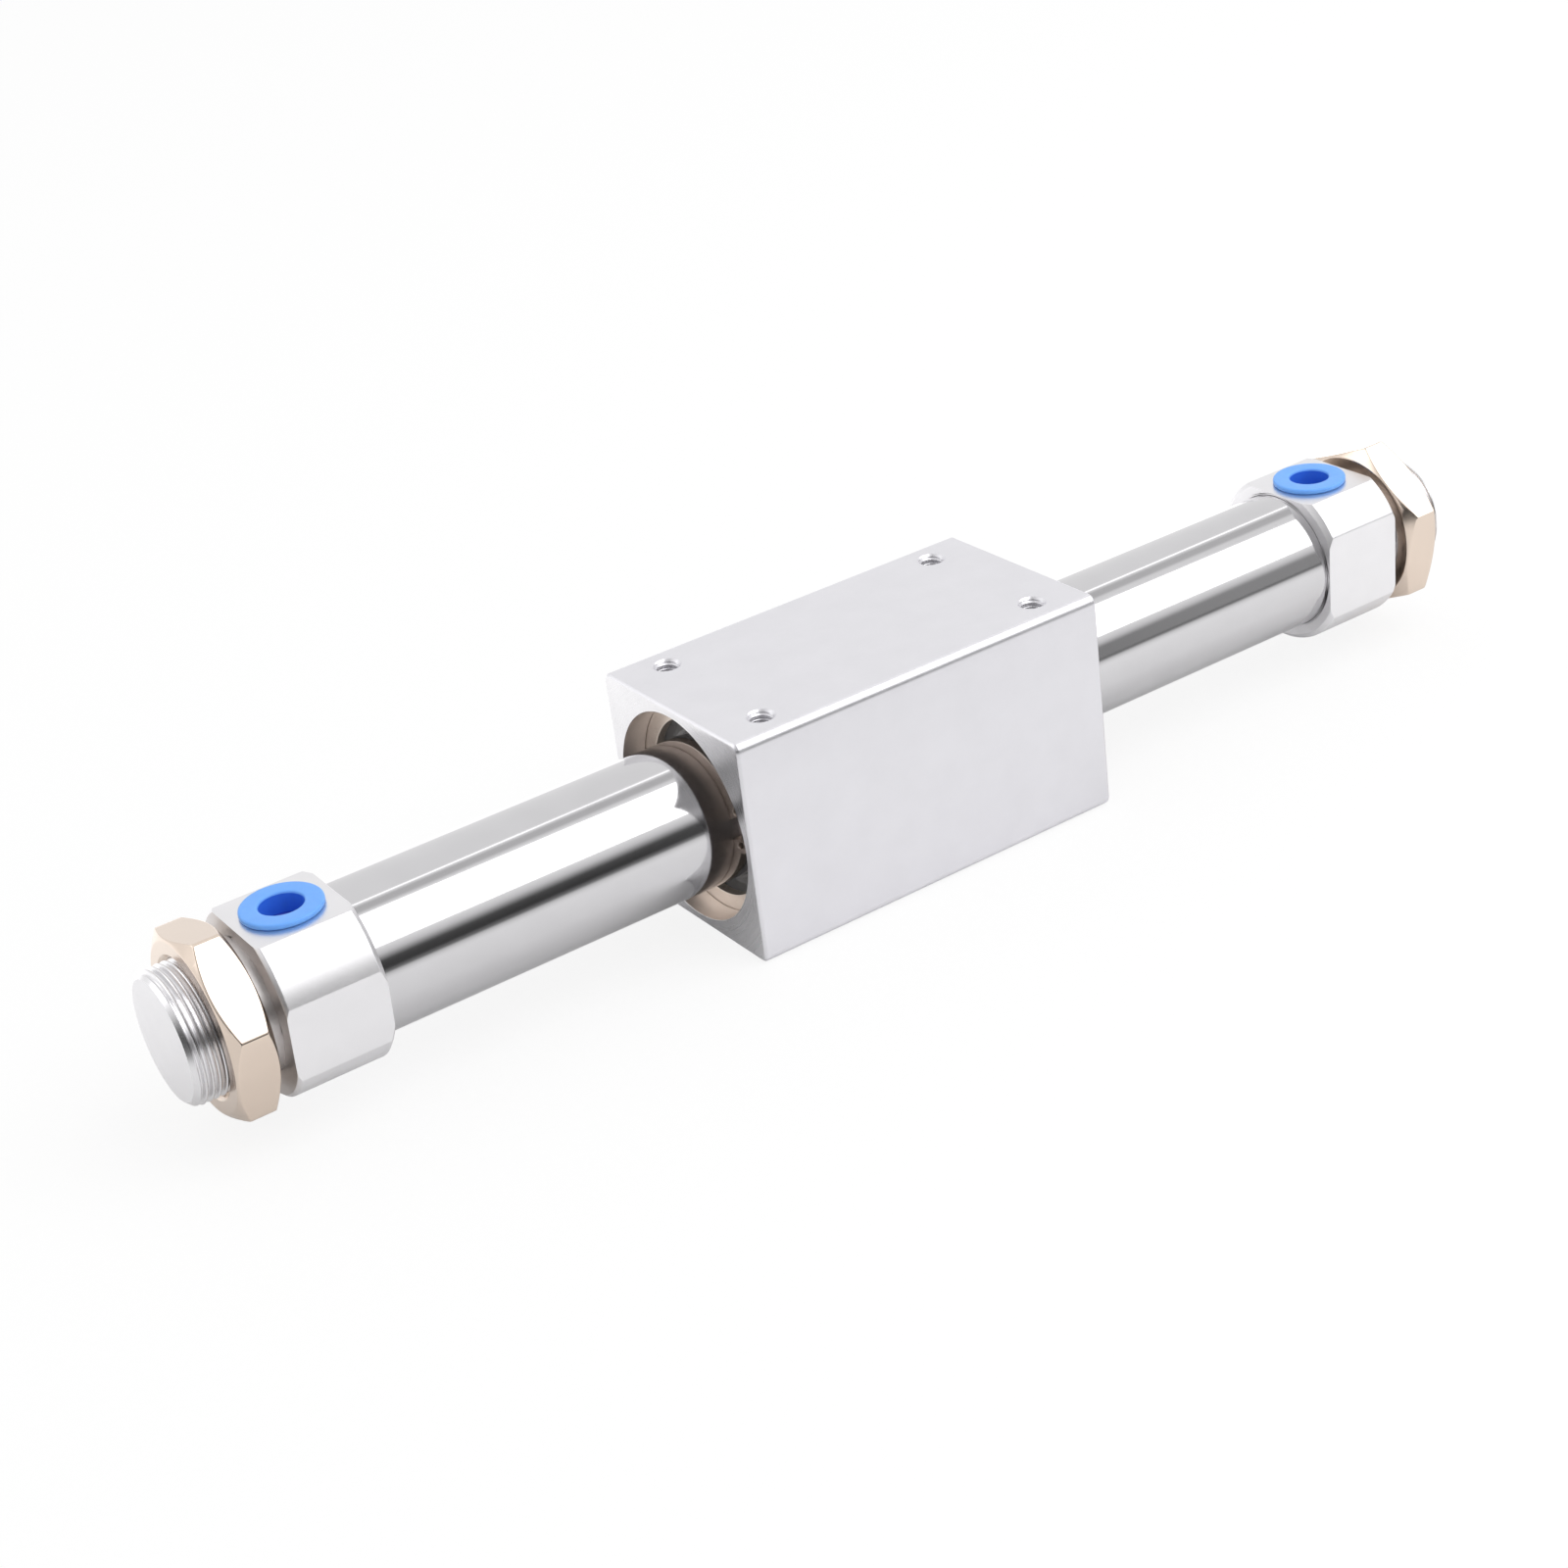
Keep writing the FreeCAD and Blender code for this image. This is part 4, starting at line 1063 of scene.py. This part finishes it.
@dataclass
class Studio:
    """The pale studio: a white room with a dark front, a soft box along the cylinder and a paper floor.

    Attributes:
        room_light: The room's level as matt surfaces see it.
        strips: Its level as metal sees it, by the angle about X from +Y towards +Z in degrees.
    """

    floor_height: float = -18.0
    floor_size: float = 3.0
    room_light: float = 0.84
    strips: tuple[Pair, ...] = (
        (0, 1.0), (151, 1.0), (157, 0.8), (162, 0.42), (167, 0.09), (177, 0.05), (182, 0.12), (190, 0.5),
        (359, 1.0),
    )
    paper_scale: float = 900.0
    box_size: Pair = (1.3, 0.96)
    box_angle: float = 121.5
    box_shift: float = 0.66
    box_distance: float = 1.0
    box_light: float = 1.7

    TURN: ClassVar[tuple[Sum, ...]] = (
        ("angle", "ARCTAN2", "z", "y"),
        ("share", "DIVIDE", "angle", math.tau),
        ("turn", "FRACT", "share"),
    )
    # What metal mirrors: the strips, a bright seam and the dip beside it, less light from the low dark side
    # and from the shade over the near end, and a pale card behind that end
    MIRRORED: ClassVar[tuple[Sum, ...]] = (
        ("haze", "MAP", "x", 0.38, 0.6, 0.0, 0.36),
        ("room", "MAXIMUM", "strip", "haze"),
        ("off seam", "DOT_PRODUCT", "way", (-0.396, 0.913, -0.098)),
        ("to seam", "ABSOLUTE", "off seam"),
        ("seam", "MAP", "to seam", 0.008, 0.024, 1.1, 0.0),
        ("off dip", "ADD", "off seam", 0.15),
        ("to dip", "ABSOLUTE", "off dip"),
        ("dip", "MAP", "to dip", 0.06, 0.12, 0.34, 0.0),
        ("seamed", "ADD", "room", "seam"),
        ("dipped", "SUBTRACT", "seamed", "dip"),
        ("facing side", "DOT_PRODUCT", "way", (-0.86, -0.5, 0.05)),
        ("dark side", "MAP", "facing side", 0.66, 0.84, 1.0, 0.05),
        ("above it", "MAP", "z", 0.2, 0.42, 0.05, 1.0),
        ("side", "MAXIMUM", "dark side", "above it"),
        ("facing shade", "DOT_PRODUCT", "way", (-0.46, -0.44, 0.77)),
        ("shade", "MAP", "facing shade", 0.84, 0.94, 1.0, 0.5),
        ("least", "MINIMUM", "side", "shade"),
        ("left", "MULTIPLY", "dipped", "least"),
        ("facing card", "DOT_PRODUCT", "way", (-0.727, 0.543, 0.415)),
        ("card", "MAP", "facing card", 0.94, 0.975, 0.0, 1.0),
        ("level", "ADD", "left", "card"),
    )
    # Painted shade and painted light on the paper as metal sees it: its tone painted darker in front, as a
    # painted shadow under the cylinder and as painted shade at the near end, and a painted glow behind it and
    # round one spot; then its faint grain, and how much of it the camera sees plain
    PAPER: ClassVar[tuple[Sum, ...]] = (
        ("front", "MAP", "y", -0.32, -0.09, 0.8, 0.0),
        ("off middle", "ADD", "y", 0.008),
        ("beside", "ABSOLUTE", "off middle"),
        # Painted shadow under the cylinder, seen only by metal
        ("under", "MAP", "beside", 0.004, 0.016, 0.1, 0.0),
        ("less", "ADD", "front", "under"),
        ("near end", "MAP", "x", -0.18, -0.145, 0.9, 0.0),
        ("facing", "MAP", "y", -0.03, -0.005, 1.0, 0.0),
        ("corner", "MULTIPLY", "near end", "facing"),
        ("most", "MAXIMUM", "less", "corner"),
        ("lost", "MULTIPLY", "most", "glossy"),
        ("tone", "SUBTRACT", 0.955, "lost"),
        ("behind", "MAP", "y", 0.015, 0.1, 0.0, 0.35),
        ("away", "DISTANCE", "place", (0.233, 0.14, -0.018)),
        # Painted pool of light round one spot behind and right of the far end, seen only by metal
        ("spot", "MAP", "away", 0.045, 0.075, 1.2, 0.0),
        ("more", "ADD", "behind", "spot"),
        ("gain", "MULTIPLY", "more", "glossy"),
        ("grain", "MAP", "noise", 0.0, 1.0, 0.99, 1.0),
        ("plain", "MULTIPLY", "camera", 0.85),
    )

    @staticmethod
    def named(tree: Tree, way: Socket, name: str) -> dict[str, Socket]:
        """Give a vector, its parts and the kinds of ray their names in the lists of sums."""
        path = add_node(tree, "ShaderNodeLightPath").outputs
        known = dict(zip("xyz", add_node(tree, "ShaderNodeSeparateXYZ", {0: way}).outputs))
        kinds = {kind.lower(): path[f"Is {kind} Ray"] for kind in ("Glossy", "Camera", "Transmission")}
        return known | kinds | {name: way}

    def world(self) -> None:
        """Make the room: white to the camera, plain to matt surfaces, with its strips to metal."""
        world = bpy.data.worlds.new("Studio")
        bpy.context.scene.world = world
        world.use_nodes = True
        tree = world.node_tree
        tree.nodes.clear()
        known = self.named(tree, add_node(tree, "ShaderNodeTexCoord").outputs["Generated"], "way")
        ramp = add_node(tree, "ShaderNodeValToRGB", {0: worked(tree, self.TURN, known)["turn"]})
        stops = ramp.color_ramp.elements
        stops.remove(stops[1])
        for place, level in self.strips:
            stop = stops[0] if place == 0 else stops.new(place / 360)
            stop.color = (level, level, level, 1.0)
        clear = ("clear", "MAXIMUM", "camera", "transmission")
        known = worked(tree, (*self.MIRRORED, clear), known | {"strip": ramp.outputs[0]})
        levels = {0: known["glossy"], 2: self.room_light, 3: known["level"]}
        mirrored = add_node(tree, "ShaderNodeMix", levels)
        strength = add_node(tree, "ShaderNodeMix", {0: known["clear"], 2: mirrored.outputs[0], 3: 1.0})
        white = {"Color": linear("#FFFFFF"), "Strength": strength.outputs[0]}
        add_node(tree, "ShaderNodeOutputWorld", {0: add_node(tree, "ShaderNodeBackground", white).outputs[0]})

    def paper(self) -> bpy.types.Material:
        """Make the floor's paper: nearly white to the camera, and to metal with painted shade and painted
        light.
        """
        paper = bpy.data.materials.new("White paper")
        paper.use_nodes = True
        tree = paper.node_tree
        tree.nodes.clear()
        place = add_node(tree, "ShaderNodeTexCoord").outputs["Object"]
        known = self.named(tree, place, "place") | {"noise": clouded(tree, place, self.paper_scale)}
        known = worked(tree, self.PAPER, known)
        paint = add_node(tree, "ShaderNodeBsdfDiffuse", {"Color": known["tone"]})
        glow = add_node(tree, "ShaderNodeEmission", {"Strength": known["gain"]})
        lit = add_node(tree, "ShaderNodeAddShader", {0: paint.outputs[0], 1: glow.outputs[0]})
        white = add_node(tree, "ShaderNodeEmission", {"Color": linear("#FFFFFF"), "Strength": known["grain"]})
        parts = {0: known["plain"], 1: lit.outputs[0], 2: white.outputs[0]}
        mix = add_node(tree, "ShaderNodeMixShader", parts)
        add_node(tree, "ShaderNodeOutputMaterial", {0: mix.outputs[0]})
        return paper

    def floor(self) -> None:
        """Lay the floor under the carriage. It keeps the object's shadow."""
        size = self.floor_size / 2
        low = self.floor_height * MM
        mesh = bpy.data.meshes.new("studio_floor")
        corners = [(-size, -size, low), (size, -size, low), (size, size, low), (-size, size, low)]
        mesh.from_pydata(corners, [], [(0, 1, 2, 3)])
        mesh.materials.append(self.paper())
        placed("studio_floor", mesh)

    def soft_box(self) -> None:
        """Hang the soft box over the front, its long side along the cylinder."""
        light = bpy.data.lights.new("soft_box", "AREA")
        light.shape = "RECTANGLE"
        light.size, light.size_y = self.box_size
        light.energy = self.box_light * math.pi * self.box_size[0] * self.box_size[1]
        box = placed("soft_box", light)
        angle = math.radians(self.box_angle)
        way = Vector((0.0, math.cos(angle), math.sin(angle)))
        across = Vector((1.0, 0.0, 0.0))
        turn = Matrix((across, way.cross(across), way)).transposed().to_4x4()
        place = way * self.box_distance + across * self.box_shift
        box.matrix_world = Matrix.Translation(place) @ turn
        box.visible_camera = False

    def build(self) -> None:
        """Make the room, the floor and the light."""
        bpy.context.scene.view_settings.view_transform = "Standard"
        self.world()
        self.floor()
        self.soft_box()
        LOG.info("studio ready")


@dataclass
class PhotoCamera:
    """The camera at the photograph's viewpoint."""

    place: Triple = (-208.08, -318.81, 192.98)
    azimuth: float = -31.32
    elevation: float = 27.55
    roll: float = 7.70
    lens: float = 64.0
    sensor: float = 36.0
    nearest: float = 0.01

    def build(self) -> None:
        """Place the camera."""
        turn, lift, roll = (math.radians(value) for value in (self.azimuth, self.elevation, self.roll))
        back = Vector((math.sin(turn) * math.cos(lift), -math.cos(turn) * math.cos(lift), math.sin(lift)))
        level = (-back).cross(Vector((0, 0, 1))).normalized()
        down = (-back).cross(level)
        right = level * math.cos(roll) + down * math.sin(roll)
        up = level * math.sin(roll) - down * math.cos(roll)
        camera = bpy.data.cameras.new("photo_camera")
        camera.lens = self.lens
        camera.sensor_width = self.sensor
        camera.clip_start = self.nearest
        seat = placed("photo_camera", camera)
        facing = Matrix((right, up, back)).transposed().to_4x4()
        seat.matrix_world = Matrix.Translation(Vector(self.place) * MM) @ facing
        bpy.context.scene.camera = seat
        LOG.info("camera ready")


def main() -> None:
    """Build the camera, the studio and every piece."""
    logging.basicConfig(level=logging.INFO, format="%(name)s: %(message)s")
    PhotoCamera().build()
    Studio().build()
    shop = Workshop()
    CylinderTube().build(shop)
    for end, flat, turn, nut_turn in ((End.NEAR, 12.7, -6.0, 13.0), (End.FAR, 12.0, 1.0, 38.6)):
        EndCap(end, flat, turn).build(shop)
        MountingNut(end, nut_turn).build(shop)
        PortPlug(end).build(shop)
        RingAndScraper(end).build(shop)
    CarriageHousing().build(shop)
    InnerParts().build()


if __name__ == "__main__":
    main()
